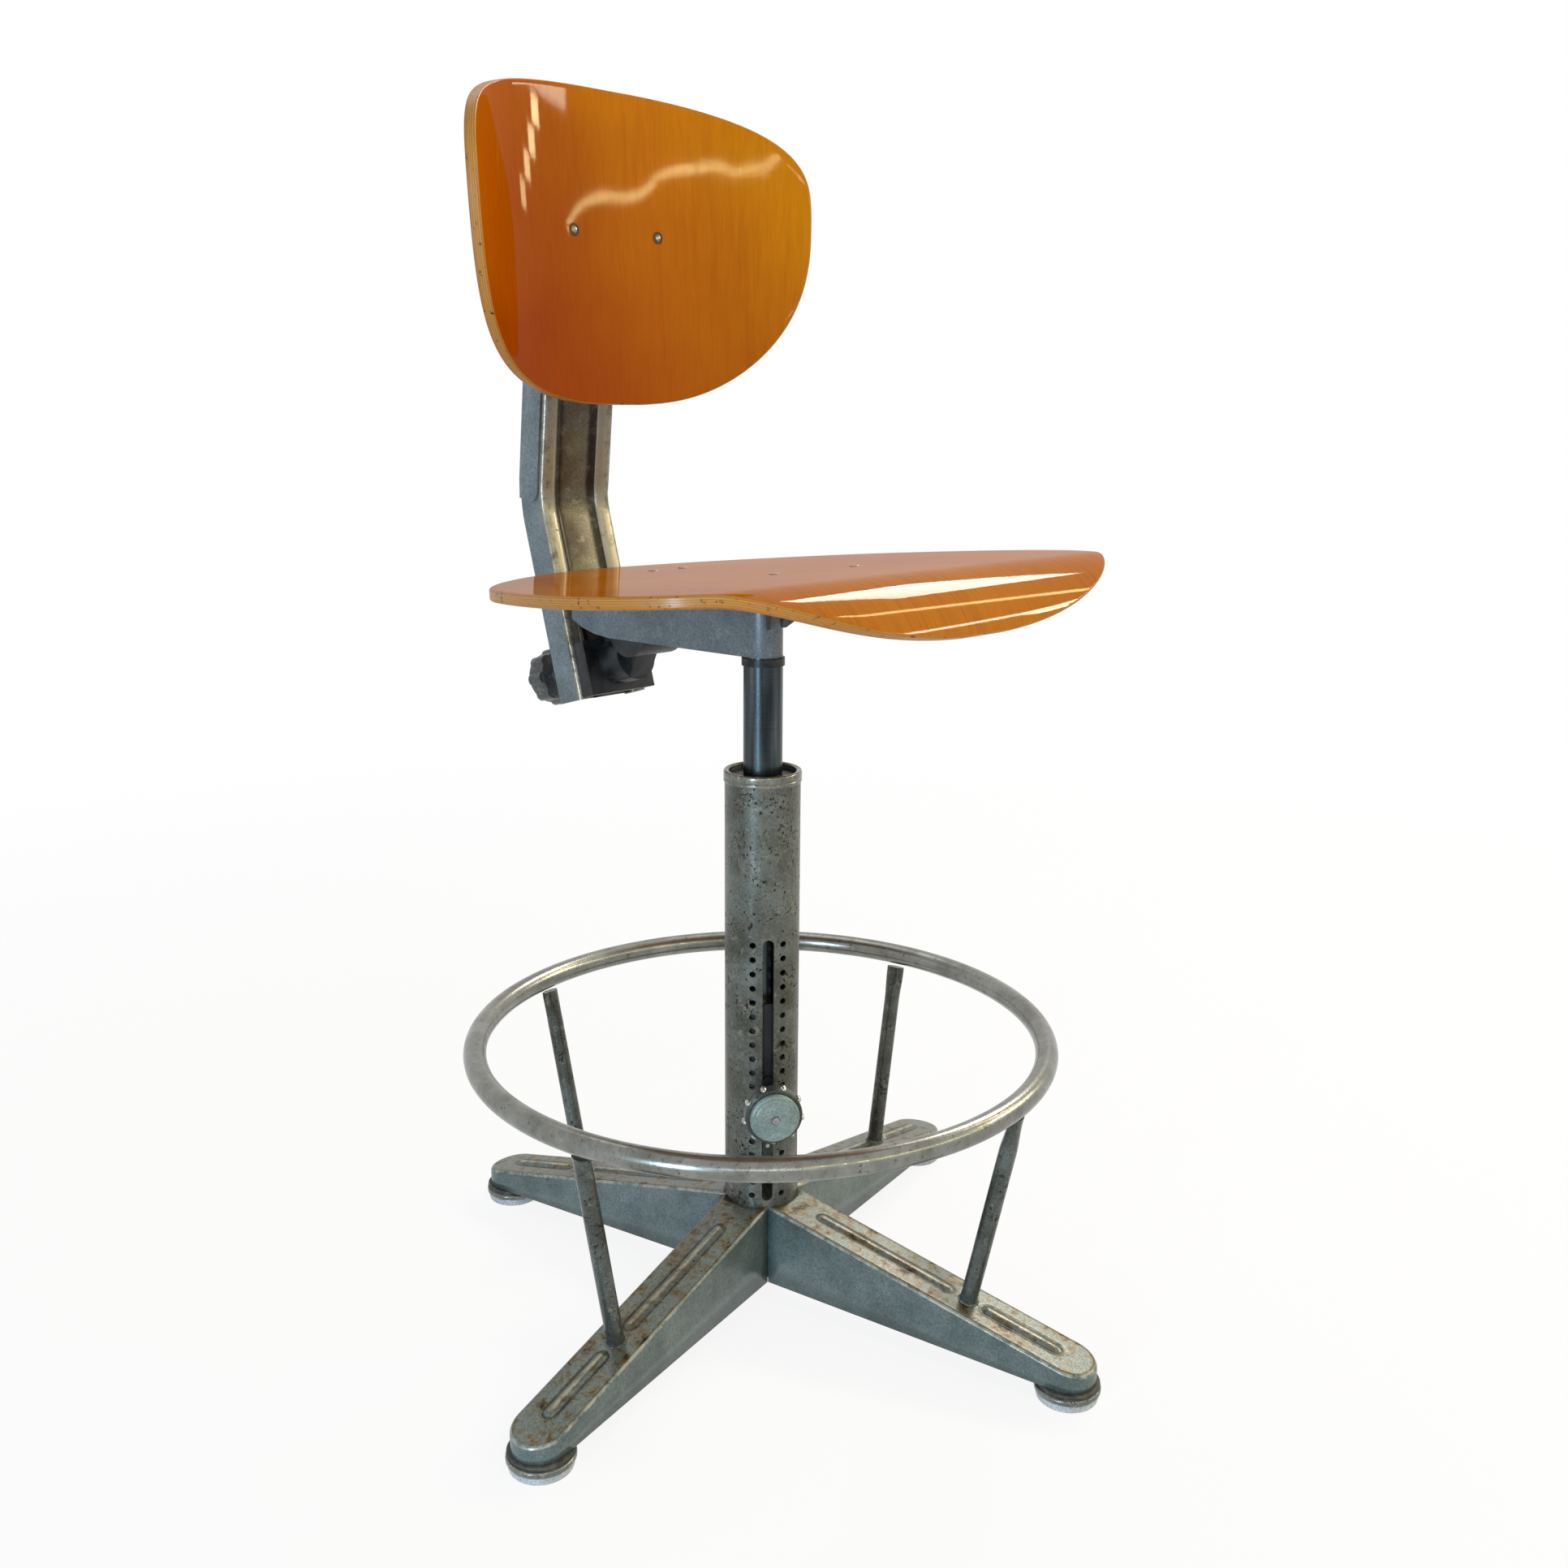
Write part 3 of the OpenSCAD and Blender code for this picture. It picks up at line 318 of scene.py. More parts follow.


# ---- Legs ----
# Each leg is one folded steel channel, rounded at its nose, with pressed ribs along its top. The
# enamel on top has worn to a brownish grey; the folds are rubbed to bright metal, with a painted
# highlight along them, and painted shade lies in the grooves beside the ribs.
leg_enamel = hammered_enamel(
    "hammered_enamel_legs", "#74817F", "#5C6866", "#A8A391", "#1C1711", specks=0.3, top="#75684C", rub_and_light=True,
    roughness=0.34, metal=0.3, patchy=0.2,
)
LEG_W, LEG_NOSE, LEG_IN = 0.043, 0.279, 0.03005
LEG_WALL, FIRST_LEG = 0.002, 11.5
RIBS = ((0.062, 0.1765), (0.2120, 0.268))


def leg_top(r):
    """Height of a leg's top at a distance from the middle of the column."""
    return 0.0875 + (0.034 - 0.0875) * (r - 0.030) / 0.249


def leg_bottom(r):
    """Height of a leg's lower edge at a distance from the middle of the column."""
    return 0.020 + (0.016 - 0.020) * (r - 0.030) / 0.249


def rib_lift(r, y):
    """Height of the pressed ribs at a place on a leg's top, and its mark: worn bright with a painted
    highlight on the crown, painted shade in the trough.
    """
    lift, rub_and_light = 0.0, 0.45
    for start, end in RIBS:
        off = math.hypot(max(start - r, 0, r - end), y)
        crown = math.exp(-((off / 0.0034) ** 4))
        trough = math.exp(-(((off - 0.0058) / 0.0012) ** 2))
        lift = max(lift, 0.0019 * crown)
        lift -= 0.0006 * trough
        rub_and_light += 0.28 * crown - 0.4 * trough
    return lift, rub_and_light


def leg_mesh():
    """Half-plan rows across the leg, carried round the nose, with folded edges and inner walls."""
    fold = 0.0032
    half = LEG_W / 2
    stations = [LEG_IN - 0.0002 + k * (LEG_NOSE - LEG_IN + 0.0002) / 150 for k in range(151)]
    # places across the top, as shares of its flat half-width
    flat = [-1 + 2 * k / 28 for k in range(29)]
    verts, faces, rub_and_light = [], [], []

    def place(r, y, drop):
        """A point at a distance along and across the leg, some way below its top."""
        lift, wear_and_light = rib_lift(r, y) if drop == 0 else (0.0, 0.45)
        # the rounded fold is marked bright: rubbed metal with a painted highlight
        if 0.0002 < drop < fold:
            wear_and_light = 0.72
        rub_and_light.append(wear_and_light)
        return (r, y, leg_top(r) + lift - drop)

    rows = []
    for r in stations:
        inner = half - fold
        row = []
        low = leg_top(r) - leg_bottom(r)
        side = [(half, low), (half, low * 0.6), (half, fold + 0.001)]
        arc = [
            (inner + fold * math.cos(a), fold - fold * math.sin(a))
            for a in [math.radians(15 * k) for k in range(0, 6)]
        ]
        for y, drop in side + arc:
            row.append(place(r, -y, drop))
        row += [place(r, y * inner, 0) for y in flat]
        for y, drop in reversed(side + arc):
            row.append(place(r, y, drop))
        start = len(verts)
        verts += row
        rows.append(list(range(start, start + len(row))))
    count = len(rows[0])
    for a, b in zip(rows, rows[1:]):
        for k in range(count - 1):
            faces.append((a[k], b[k], b[k + 1], a[k + 1]))
    # the nose: rings of falling radius from the side round to the middle line
    edge = rows[-1]
    arc_steps = 40
    half_count = count // 2
    previous = [edge[k] for k in range(half_count + 1)]
    for step in range(1, arc_steps + 1):
        turn = math.pi * step / arc_steps
        if step == arc_steps:
            ring = [edge[count - 1 - k] for k in range(half_count)] + [edge[half_count]]
        else:
            ring = []
            for k in range(half_count):
                x0, y0, z0 = verts[edge[k]]
                radius = -y0
                x = LEG_NOSE + radius * math.sin(turn)
                y = -radius * math.cos(turn)
                drop = leg_top(x0) - z0 if radius > half - fold - 1e-6 else 0.0
                low = drop > leg_top(x0) - leg_bottom(x0) - 1e-6
                top = leg_bottom(x) if low else leg_top(x) - drop
                ring.append(len(verts))
                # the nose's fold gets the same bright mark, wear with a painted highlight
                lift, wear_and_light = rib_lift(x, y) if drop == 0 else (
                    0.0, 0.72 if 0.0002 < drop < fold else 0.45,
                )
                rub_and_light.append(wear_and_light)
                verts.append((x, y, top + lift))
            ring.append(edge[half_count])
        for k in range(half_count):
            quad = [previous[k], ring[k], ring[k + 1], previous[k + 1]]
            quad = [v for i, v in enumerate(quad) if v not in quad[:i]]
            if len(quad) > 2:
                faces.append(tuple(quad))
        previous = ring
    # the mitred inner end: points inside the neighbours' planes slide out to them
    moved = []
    for number, (x, y, z) in enumerate(verts):
        least = max(abs(y) + 0.0002, math.sqrt(max(LEG_IN**2 - y * y, 0.0)))
        if number < count:
            high = z > leg_bottom(x) + 0.001
            z += leg_top(least) - leg_top(x) if high else leg_bottom(least) - leg_bottom(x)
            x = least
        moved.append((max(x, least), y, z))
    return moved, faces, rub_and_light


leg_verts, leg_faces, leg_rub_and_light = leg_mesh()
for number in range(4):
    turn = Matrix.Rotation(math.radians(FIRST_LEG + 90 * number), 4, "Z")
    thing = piece(
        f"leg_{number + 1}_channel", leg_verts, leg_faces, leg_enamel, "base", [f"leg_{number + 1}"], turn,
        50,
    )
    # the marks carry the painted highlight on the folds and the painted shade in the rib grooves
    layer = thing.data.attributes.new("rub_and_light", "FLOAT", "POINT")
    layer.data.foreach_set("value", leg_rub_and_light)
    # the folded sheet has its thickness inwards
    thick = thing.modifiers.new("sheet", "SOLIDIFY")
    thick.thickness = LEG_WALL
    thick.offset = -1.0


# ---- Feet ----
# A dark rubber cup with two raised rings presses up into each leg's nose; a bright steel glide is
# held in its underside.
foot_rubber = oiled_black(
    "perished_rubber_cup", "#2A2925", "#57534A", roughness=0.6, metal=0.0, scale=160.0,
)
band_steel = hammered_enamel(
    "worn_steel_cup_band", "#8C8E88", "#6B6C66", "#C4C2B8", "#2E2A24", specks=0.5, roughness=0.3, metal=0.8,
)
glide_steel = hammered_enamel(
    "zinc_plated_glide", "#CDD1D3", "#AEB3B5", "#E4E6E6", "#6A665C", specks=0.3, roughness=0.35, metal=0.35,
)
cup_profile = rounded(
    [
        (0, 0.0065), (0.0242, 0.0065), (0.0252, 0.0076), (0.0252, 0.0108), (0.0240, 0.0118),
        (0.0233, 0.0121), (0.0236, 0.0130), (0.0244, 0.0138), (0.0244, 0.0148), (0.0232, 0.0156),
        (0.0190, 0.0156), (0.0190, 0.0265), (0.0180, 0.027), (0, 0.027),
    ],
    0.0008,
)
glide_profile = rounded(
    [(0, 0.0), (0.0210, 0.0), (0.0231, 0.0008), (0.0236, 0.0024), (0.0236, 0.0065), (0, 0.0065)], 0.0006,
)
for number in range(4):
    turn = math.radians(FIRST_LEG + 90 * number)
    seat_at = Matrix.Translation((LEG_NOSE * math.cos(turn), LEG_NOSE * math.sin(turn), 0))
    verts, faces = lathe(cup_profile, 72)
    heights = [sum(verts[v][2] for v in face) / len(face) for face in faces]
    banded = [1 if 0.0068 < z < 0.0116 else 0 for z in heights]
    piece(
        f"foot_cup_{number + 1}_turned", verts, faces, [foot_rubber, band_steel], "base",
        [f"foot_cup_{number + 1}"], seat_at, 50, banded,
    )
    piece(
        f"glide_{number + 1}_turned", *lathe(glide_profile, 72), glide_steel, "base",
        [f"glide_{number + 1}"], seat_at, 50,
    )


# ---- Foot ring ----
# Nickelled steel tube bent to a hoop and butt-welded in two places. The plating is spotted with
# brown where feet have rubbed it.
def nickel(name):
    """Nickel plate: grey haze about 30 mm across, brown flecks about 4 mm apart where it has worn."""
    material, tree, shader, place = finish_named(name, {"Metallic": 0.8})
    spot = place.outputs["Object"]
    haze = add(
        tree, "ShaderNodeTexNoise", {"Scale": 35.0, "Detail": 6.0, "Roughness": 0.65}, {"Vector": spot},
    )
    hazes = add(
        tree, "ShaderNodeValToRGB", links={"Fac": haze.outputs["Fac"]},
        ramp=[(0.36, "#8C8D87"), (0.66, "#6C6B64")],
    )
    fleck = add(
        tree, "ShaderNodeTexNoise", {"Scale": 260.0, "Detail": 4.0, "Roughness": 0.8}, {"Vector": spot},
    )
    flecks = add(
        tree, "ShaderNodeValToRGB", links={"Fac": fleck.outputs["Fac"]}, ramp=[(0.58, 0.0), (0.66, 0.9)],
    )
    colour = blended(tree, flecks.outputs["Color"], hazes.outputs["Color"], "#4A3D2E")
    tree.links.new(colour, shader.inputs["Base Color"])
    dull = add(tree, "ShaderNodeMapRange", {3: 0.14, 4: 0.34}, {0: haze.outputs["Fac"]})
    tree.links.new(dull.outputs[0], shader.inputs["Roughness"])
    bump = add(
        tree, "ShaderNodeBump", {"Strength": 0.2, "Distance": 0.0002}, {"Height": fleck.outputs["Fac"]},
    )
    tree.links.new(bump.outputs[0], shader.inputs["Normal"])
    return material


ring_nickel = nickel("spotted_nickel_plate")


def grown(name, build, inputs, body, cad=(), place=None):
    """Runs a node tree on an empty mesh and keeps its result as a plain mesh piece."""
    tree = bpy.data.node_groups.new(name + "_tree", "GeometryNodeTree")
    for label, value in inputs.items():
        kind = "NodeSocketInt" if isinstance(value, int) else "NodeSocketFloat"
        tree.interface.new_socket(label, in_out="INPUT", socket_type=kind).default_value = value
    tree.interface.new_socket("Geometry", in_out="OUTPUT", socket_type="NodeSocketGeometry")
    source = add(tree, "NodeGroupInput")
    shape, material = build(tree, source)
    real = add(tree, "GeometryNodeRealizeInstances", links={"Geometry": shape})
    coated = add(tree, "GeometryNodeSetMaterial", {"Material": material}, {"Geometry": real.outputs[0]})
    add(tree, "NodeGroupOutput", links={"Geometry": coated.outputs[0]})
    host = bpy.data.objects.new(name + "_host", bpy.data.meshes.new(name + "_host"))
    bpy.context.scene.collection.objects.link(host)
    step = host.modifiers.new("grow", "NODES")
    step.node_group = tree
    for item in tree.interface.items_tree:
        if item.in_out == "INPUT":
            step[item.identifier] = inputs[item.name]
    graph = bpy.context.evaluated_depsgraph_get()
    mesh = bpy.data.meshes.new_from_object(host.evaluated_get(graph))
    mesh.name = name
    if place is not None:
        mesh.transform(place)
    bpy.data.objects.remove(host)
    mesh.shade_smooth()
    thing = bpy.data.objects.new(name, mesh)
    bpy.context.scene.collection.objects.link(thing)
    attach(thing, body)
    if cad:
        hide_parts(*cad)
    return thing


def hoop(tree, source):
    """The bent tube: a round section swept along a circle."""
    path = add(
        tree, "GeometryNodeCurvePrimitiveCircle", {"Resolution": 256},
        {"Radius": source.outputs["Hoop radius"]}, mode="RADIUS",
    )
    section = add(
        tree, "GeometryNodeCurvePrimitiveCircle", {"Resolution": 40},
        {"Radius": source.outputs["Tube radius"]}, mode="RADIUS",
    )
    tube = add(
        tree, "GeometryNodeCurveToMesh",
        links={"Curve": path.outputs["Curve"], "Profile Curve": section.outputs["Curve"]},
    )
    lift = add(tree, "ShaderNodeCombineXYZ", links={"Z": source.outputs["Height"]})
    raised = add(
        tree, "GeometryNodeTransform",
        links={"Geometry": tube.outputs["Mesh"], "Translation": lift.outputs[0]},
    )
    return raised.outputs[0], ring_nickel


grown(
    "foot_ring_hoop", hoop, {"Hoop radius": 0.2305, "Tube radius": 0.00898, "Height": 0.228}, "base",
    ["foot_ring"],
)


# ---- Struts ----
# Four steel tubes, welded to the legs and pinched where they meet the ring. Their enamel is chipped
# brown, and a lumpy weld bead runs round each one's lower end.
strut_enamel = hammered_enamel(
    "chipped_enamel_struts", "#646A66", "#45453D", "#8F8C7D", "#221A12", specks=0.85, roughness=0.28,
    metal=0.45,
)
weld_steel = hammered_enamel(
    "painted_weld_bead", "#6C6D64", "#4F4F47", "#8F8C7E", "#241E18", specks=0.8, roughness=0.42, metal=0.45,
)
foot_z = leg_top(0.1945)
strut_run, strut_rise = 0.2305 - 0.1945, 0.228 - foot_z
strut_lean = math.atan2(strut_run, strut_rise)


def strut_mesh(segments=48):
    """A tube whose last stretch is pinched across and spread along the ring, ending on its underside."""
    verts, faces, rings = [], [], []
    straight = [-0.004] + [0.002 + k * 0.004 for k in range(33)]
    pinched = [0.134 + k * 0.0024 for k in range(1, 15)]
    for along in straight + pinched:
        pinch = min(max((along - 0.136) / 0.026, 0.0), 1.0)
        pinch = pinch * pinch * (3 - 2 * pinch)
        wide, deep = 0.0068 * (1 + 0.22 * pinch), 0.0068 * (1 - 0.28 * pinch)
        ring = []
        for k in range(segments):
            a = TURN * k / segments
            ring.append(len(verts))
            verts.append((deep * math.cos(a), wide * math.sin(a), along))
        rings.append(ring)
    for lower, upper in zip(rings, rings[1:]):
        for k in range(segments):
            faces.append((lower[k], lower[(k + 1) % segments], upper[(k + 1) % segments], upper[k]))
    faces.append(tuple(reversed(rings[0])))
    faces.append(tuple(rings[-1]))
    return verts, faces


def weld(tree, source):
    """A lumpy weld bead run round a strut's end."""
    path = add(
        tree, "GeometryNodeMeshCircle", {"Vertices": 22}, {"Radius": source.outputs["Bead radius"]},
        fill_type="NONE",
    )
    lump = add(
        tree, "GeometryNodeMeshIcoSphere", {"Subdivisions": 2}, {"Radius": source.outputs["Lump radius"]},
    )
    size = add(
        tree, "FunctionNodeRandomValue", {2: 0.75, 3: 1.15}, {"Seed": source.outputs["Seed"]},
        data_type="FLOAT",
    )
    laid = add(
        tree, "GeometryNodeInstanceOnPoints",
        links={"Points": path.outputs[0], "Instance": lump.outputs[0], "Scale": size.outputs[1]},
    )
    return laid.outputs[0], weld_steel


strut_verts, strut_faces = strut_mesh()
for number in range(4):
    turn = Matrix.Rotation(math.radians(FIRST_LEG + 90 * number), 4, "Z")
    stand = turn @ Matrix.Translation((0.1945, 0, foot_z)) @ Matrix.Rotation(strut_lean, 4, "Y")
    piece(
        f"strut_{number + 1}_tube", strut_verts, strut_faces, strut_enamel, "base", [f"strut_{number + 1}"],
        stand, 50,
    )
    flat = turn @ Matrix.Translation((0.1945, 0, foot_z)) @ Matrix.Rotation(0.212, 4, "Y")
    grown(
        f"strut_{number + 1}_foot_weld", weld,
        {"Bead radius": 0.0071, "Lump radius": 0.0014, "Seed": number}, "base", (), flat,
    )


# ---- Height lock ----
# A steel key rides in the slot, and a zinc washer lies under the hand knob. The knob is a cast
# handwheel with a beaded rim and a domed cap, painted grey-green, fixed by one small screw.
plain_steel = hammered_enamel(
    "bright_drawn_steel", "#A5A6A4", "#8A8B88", "#C2C2BE", "#4A463F", specks=0.3, roughness=0.3, metal=0.9,
)
# the key and the carrier sleeve in the slot are near-black: painted shade for the dark inside of the slot
key_shade_black = oiled_black("near_black_key_painted_shade", "#0D0E0E", "#222321", roughness=0.4, metal=0.3)
dress(key_shade_black, "guide_key")
sleeve_shade_black = oiled_black("near_black_sleeve_painted_shade", "#0B0C0D", "#1A1B1B", roughness=0.5, metal=0.4)
dress(sleeve_shade_black, "carrier_sleeve")
dress(
    plain_steel, "key_screws", "carrier_floor", "thrust_ball", "knob_washer", "index_plate", "clamp_bolt",
    "retaining_ring",
)
dull_brass = hammered_enamel(
    "dull_turned_brass", "#A88A4E", "#8A6F3C", "#C6AA68", "#4A3B20", specks=0.3, roughness=0.35, metal=1.0,
)
dress(dull_brass, "lower_bush", "back_knob_nut")
knob_enamel = hammered_enamel(
    "grey_green_knob_enamel", "#8E9E9A", "#768480", "#C2C8BE", "#33322B", specks=0.4, roughness=0.4,
    metal=0.2,
)

slot_turn = Matrix.Rotation(
    math.radians(-125), 4, "Z",
) @ Matrix.Translation((0, 0, 0.183)) @ Matrix.Rotation(math.pi / 2, 4, "Y")
rim_wheel = rounded(
    [
        (0.00305, 0.0333), (0.0108, 0.0333), (0.0108, 0.0470), (0.0212, 0.0484), (0.0229, 0.0496),
        (0.0229, 0.0590),
        (0.0217, 0.0600), (0.00305, 0.0600), (0.00305, 0.0333),
    ],
    0.0009,
)
# the wheel is dark enamel, made darker still as painted shade in the gap between the cap and the beads
wheel_enamel_shaded = hammered_enamel(
    "dark_knob_wheel_painted_shade", "#4C5350", "#353A38", "#8B8F88", "#1C1B17", specks=0.6, roughness=0.45,
    metal=0.3,
)
# the beads are a near-white polish so they read as glints all round: a painted highlight
bead_glint_metal = hammered_enamel(
    "polished_knob_beads_painted_glint", "#C6C9C2", "#9FA39C", "#E4E2D8", "#4A463C", specks=0.3, roughness=0.16,
    metal=0.85,
)
piece("knob_wheel", *lathe(rim_wheel, 96), wheel_enamel_shaded, "height_knob", (), slot_turn, 45)


def beads(tree, source):
    """The knob's grip: equal beads set round its rim."""
    path = add(
        tree, "GeometryNodeMeshCircle",
        links={"Vertices": source.outputs["Beads"], "Radius": source.outputs["Circle radius"]},
        fill_type="NONE",
    )
    bead = add(
        tree, "GeometryNodeMeshUVSphere", {"Segments": 20, "Rings": 14},
        {"Radius": source.outputs["Bead radius"]},
    )
    tall = add(tree, "GeometryNodeTransform", {"Scale": (1.0, 1.0, 1.75)}, {"Geometry": bead.outputs[0]})
    laid = add(
        tree, "GeometryNodeInstanceOnPoints",
        links={"Points": path.outputs[0], "Instance": tall.outputs[0]},
    )
    return laid.outputs[0], bead_glint_metal


grown(
    "knob_beads", beads, {"Beads": 9, "Circle radius": 0.02285, "Bead radius": 0.00262},
    "height_knob", ["knob_rim"], slot_turn @ Matrix.Translation((0, 0, 0.0542)),
)
cap_profile = rounded(
    [
        (0.0016, 0.0601), (0.0199, 0.0601), (0.0199, 0.0622), (0.0190, 0.0634), (0.0172, 0.0642),
        (0.0158, 0.0643),
        (0.0148, 0.0649), (0.0100, 0.0657), (0.0040, 0.0660), (0.0036, 0.0655), (0.0016, 0.0655),
        (0.0016, 0.0601),
    ],
    0.0006,
)
piece("knob_cap_dome", *lathe(cap_profile, 96), knob_enamel, "height_knob", ["knob_cap"], slot_turn, 50)
dress(plain_steel, "knob_screw")


# ---- Spindle ----
# A turned steel bar, blued and oiled, scored with fine rings where it slides in the bush.
spindle_steel, tree, shader, place = finish_named("blued_oiled_spindle", {"Metallic": 0.85})
upright = add(
    tree, "ShaderNodeMapping", {"Scale": (14.0, 14.0, 900.0)}, {"Vector": place.outputs["Object"]},
)
scores = add(tree, "ShaderNodeTexNoise", {"Scale": 1.0, "Detail": 3.0}, {"Vector": upright.outputs[0]})
drips = add(tree, "ShaderNodeMapping", {"Scale": (130.0, 130.0, 9.0)}, {"Vector": place.outputs["Object"]})
drip = add(tree, "ShaderNodeTexNoise", {"Scale": 1.0, "Detail": 4.0}, {"Vector": drips.outputs[0]})
tone = add(
    tree, "ShaderNodeValToRGB", links={"Fac": drip.outputs["Fac"]},
    ramp=[(0.35, "#22282C"), (0.6, "#454D50"), (0.75, "#6A6A60")],
)
tree.links.new(
    blended(tree, 0.35, tone.outputs["Color"], scores.outputs["Color"], "OVERLAY"),
    shader.inputs["Base Color"],
)
dull = add(tree, "ShaderNodeMapRange", {3: 0.18, 4: 0.42}, {0: scores.outputs["Fac"]})
tree.links.new(dull.outputs[0], shader.inputs["Roughness"])
dress(spindle_steel, "spindle")


# ---- Seat bracket and arms ----
# A folded channel welded to the spindle's stub, with two short arms under the seat's front. Grey
# enamel.
def softened(node, width, body, material, segments=3, corner=28, name=None):
    """A CAD node's own shape with its sharp edges rounded."""
    work = bmesh.new()
    work.from_mesh(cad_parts[node].data)
    bmesh.ops.remove_doubles(work, verts=work.verts, dist=1e-5)
    bmesh.ops.dissolve_limit(work, angle_limit=math.radians(0.6), verts=work.verts, edges=work.edges)
    sharp = [
        e for e in work.edges if len(e.link_faces) == 2 and e.calc_face_angle(0) > math.radians(corner)
    ]
    bmesh.ops.bevel(
        work, geom=sharp, offset=width, segments=segments, profile=0.5, affect="EDGES", clamp_overlap=True
    )
    verts = [v.co.copy() for v in work.verts]
    work.verts.index_update()
    faces = [tuple(v.index for v in face.verts) for face in work.faces]
    work.free()
    return piece(name or node + "_softened", verts, faces, material, body, [node], None, 40)


bracket_enamel = hammered_enamel(
    "grey_enamel_seat_bracket", "#6A7376", "#5B6366", "#81888A", "#2A2825", specks=0.15, roughness=0.4,
    metal=0.3,
)
softened("seat_bracket", 0.0008, "seat_unit", bracket_enamel)
# the arms are near-black
arm_iron = oiled_black("near_black_arms", "#23282C", "#3F4344", roughness=0.4, metal=0.3)
for side in ("left", "right"):
    softened(f"front_arm_{side}", 0.0004, "seat_unit", arm_iron, 2)
dress(plain_steel, "seat_nuts")
dress(bracket_enamel, "tilt_pin")


# ---- Seat ----
# Hot-pressed beech plywood, seven plies, rolled down at its front, stained amber under thick gloss
# varnish. Its edge shows the plies, rubbed and chipped.
def varnished_ply(name, pale, deep, red, stretch, fade, coat=0.16):
    """Amber varnish over beech: grain lines 1.5 mm apart, drawn out along the stretch's long way.

    The colour goes redder along the fade, which is a direction and its start.
    """
    material, tree, shader, place = finish_named(
        name, {
            "Roughness": 0.5, "Specular IOR Level": 0.0, "Coat Weight": coat, "Coat Roughness": 0.04,
            "Coat IOR": 1.5,
        }
    )
    spot = place.outputs["Object"]
    drawn = add(tree, "ShaderNodeMapping", {"Scale": stretch}, {"Vector": spot})
    figure = add(
        tree, "ShaderNodeTexNoise", {"Scale": 1.0, "Detail": 6.0, "Roughness": 0.6, "Distortion": 0.4},
        {"Vector": drawn.outputs[0]},
    )
    tones = add(
        tree, "ShaderNodeValToRGB", links={"Fac": figure.outputs["Fac"]}, ramp=[
            (0.3, deep), (0.52, pale), (0.75, deep),
        ]
    )
    wide = add(tree, "ShaderNodeTexNoise", {"Scale": 4.5, "Detail": 2.0}, {"Vector": spot})
    wides = add(
        tree, "ShaderNodeValToRGB", links={"Fac": wide.outputs["Fac"]}, ramp=[(0.4, 0.0), (0.62, 1.0)],
    )
    sunk = add(tree, "ShaderNodeVectorMath", {1: fade[:3]}, {0: spot}, operation="DOT_PRODUCT")
    start = add(
        tree, "ShaderNodeMath", {1: fade[3]}, {0: sunk.outputs["Value"]}, operation="ADD", use_clamp=True,
    )
    warm = add(
        tree, "ShaderNodeMath", {1: 0.3}, {0: wides.outputs["Color"], 2: start.outputs[0]},
        operation="MULTIPLY_ADD", use_clamp=True,
    )
    colour = blended(tree, warm.outputs[0], tones.outputs["Color"], red)
    fibre = add(tree, "ShaderNodeMapping", {"Scale": tuple(5 * s for s in stretch)}, {"Vector": spot})
    fibres = add(tree, "ShaderNodeTexNoise", {"Scale": 1.0, "Detail": 3.0}, {"Vector": fibre.outputs[0]})
    lines = add(
        tree, "ShaderNodeValToRGB", links={"Fac": fibres.outputs["Fac"]}, ramp=[(0.35, 0.62), (0.6, 1.0)],
    )
    colour = blended(tree, 0.2, colour, lines.outputs["Color"], "MULTIPLY")
    tree.links.new(colour, shader.inputs["Base Color"])
    ripple = add(tree, "ShaderNodeTexNoise", {"Scale": 30.0, "Detail": 2.0}, {"Vector": spot})
    wave = add(
        tree, "ShaderNodeBump", {"Strength": 0.1, "Distance": 0.0003}, {"Height": ripple.outputs["Fac"]},
    )
    scratch = add(tree, "ShaderNodeTexNoise", {"Scale": 420.0, "Detail": 3.0}, {"Vector": spot})
    scratched = add(
        tree, "ShaderNodeBump", {"Strength": 0.03, "Distance": 0.0003},
        {"Height": scratch.outputs["Fac"], "Normal": wave.outputs[0]},
    )
    tree.links.new(scratched.outputs[0], shader.inputs["Normal"])
    tree.links.new(scratched.outputs[0], shader.inputs["Coat Normal"])
    return material


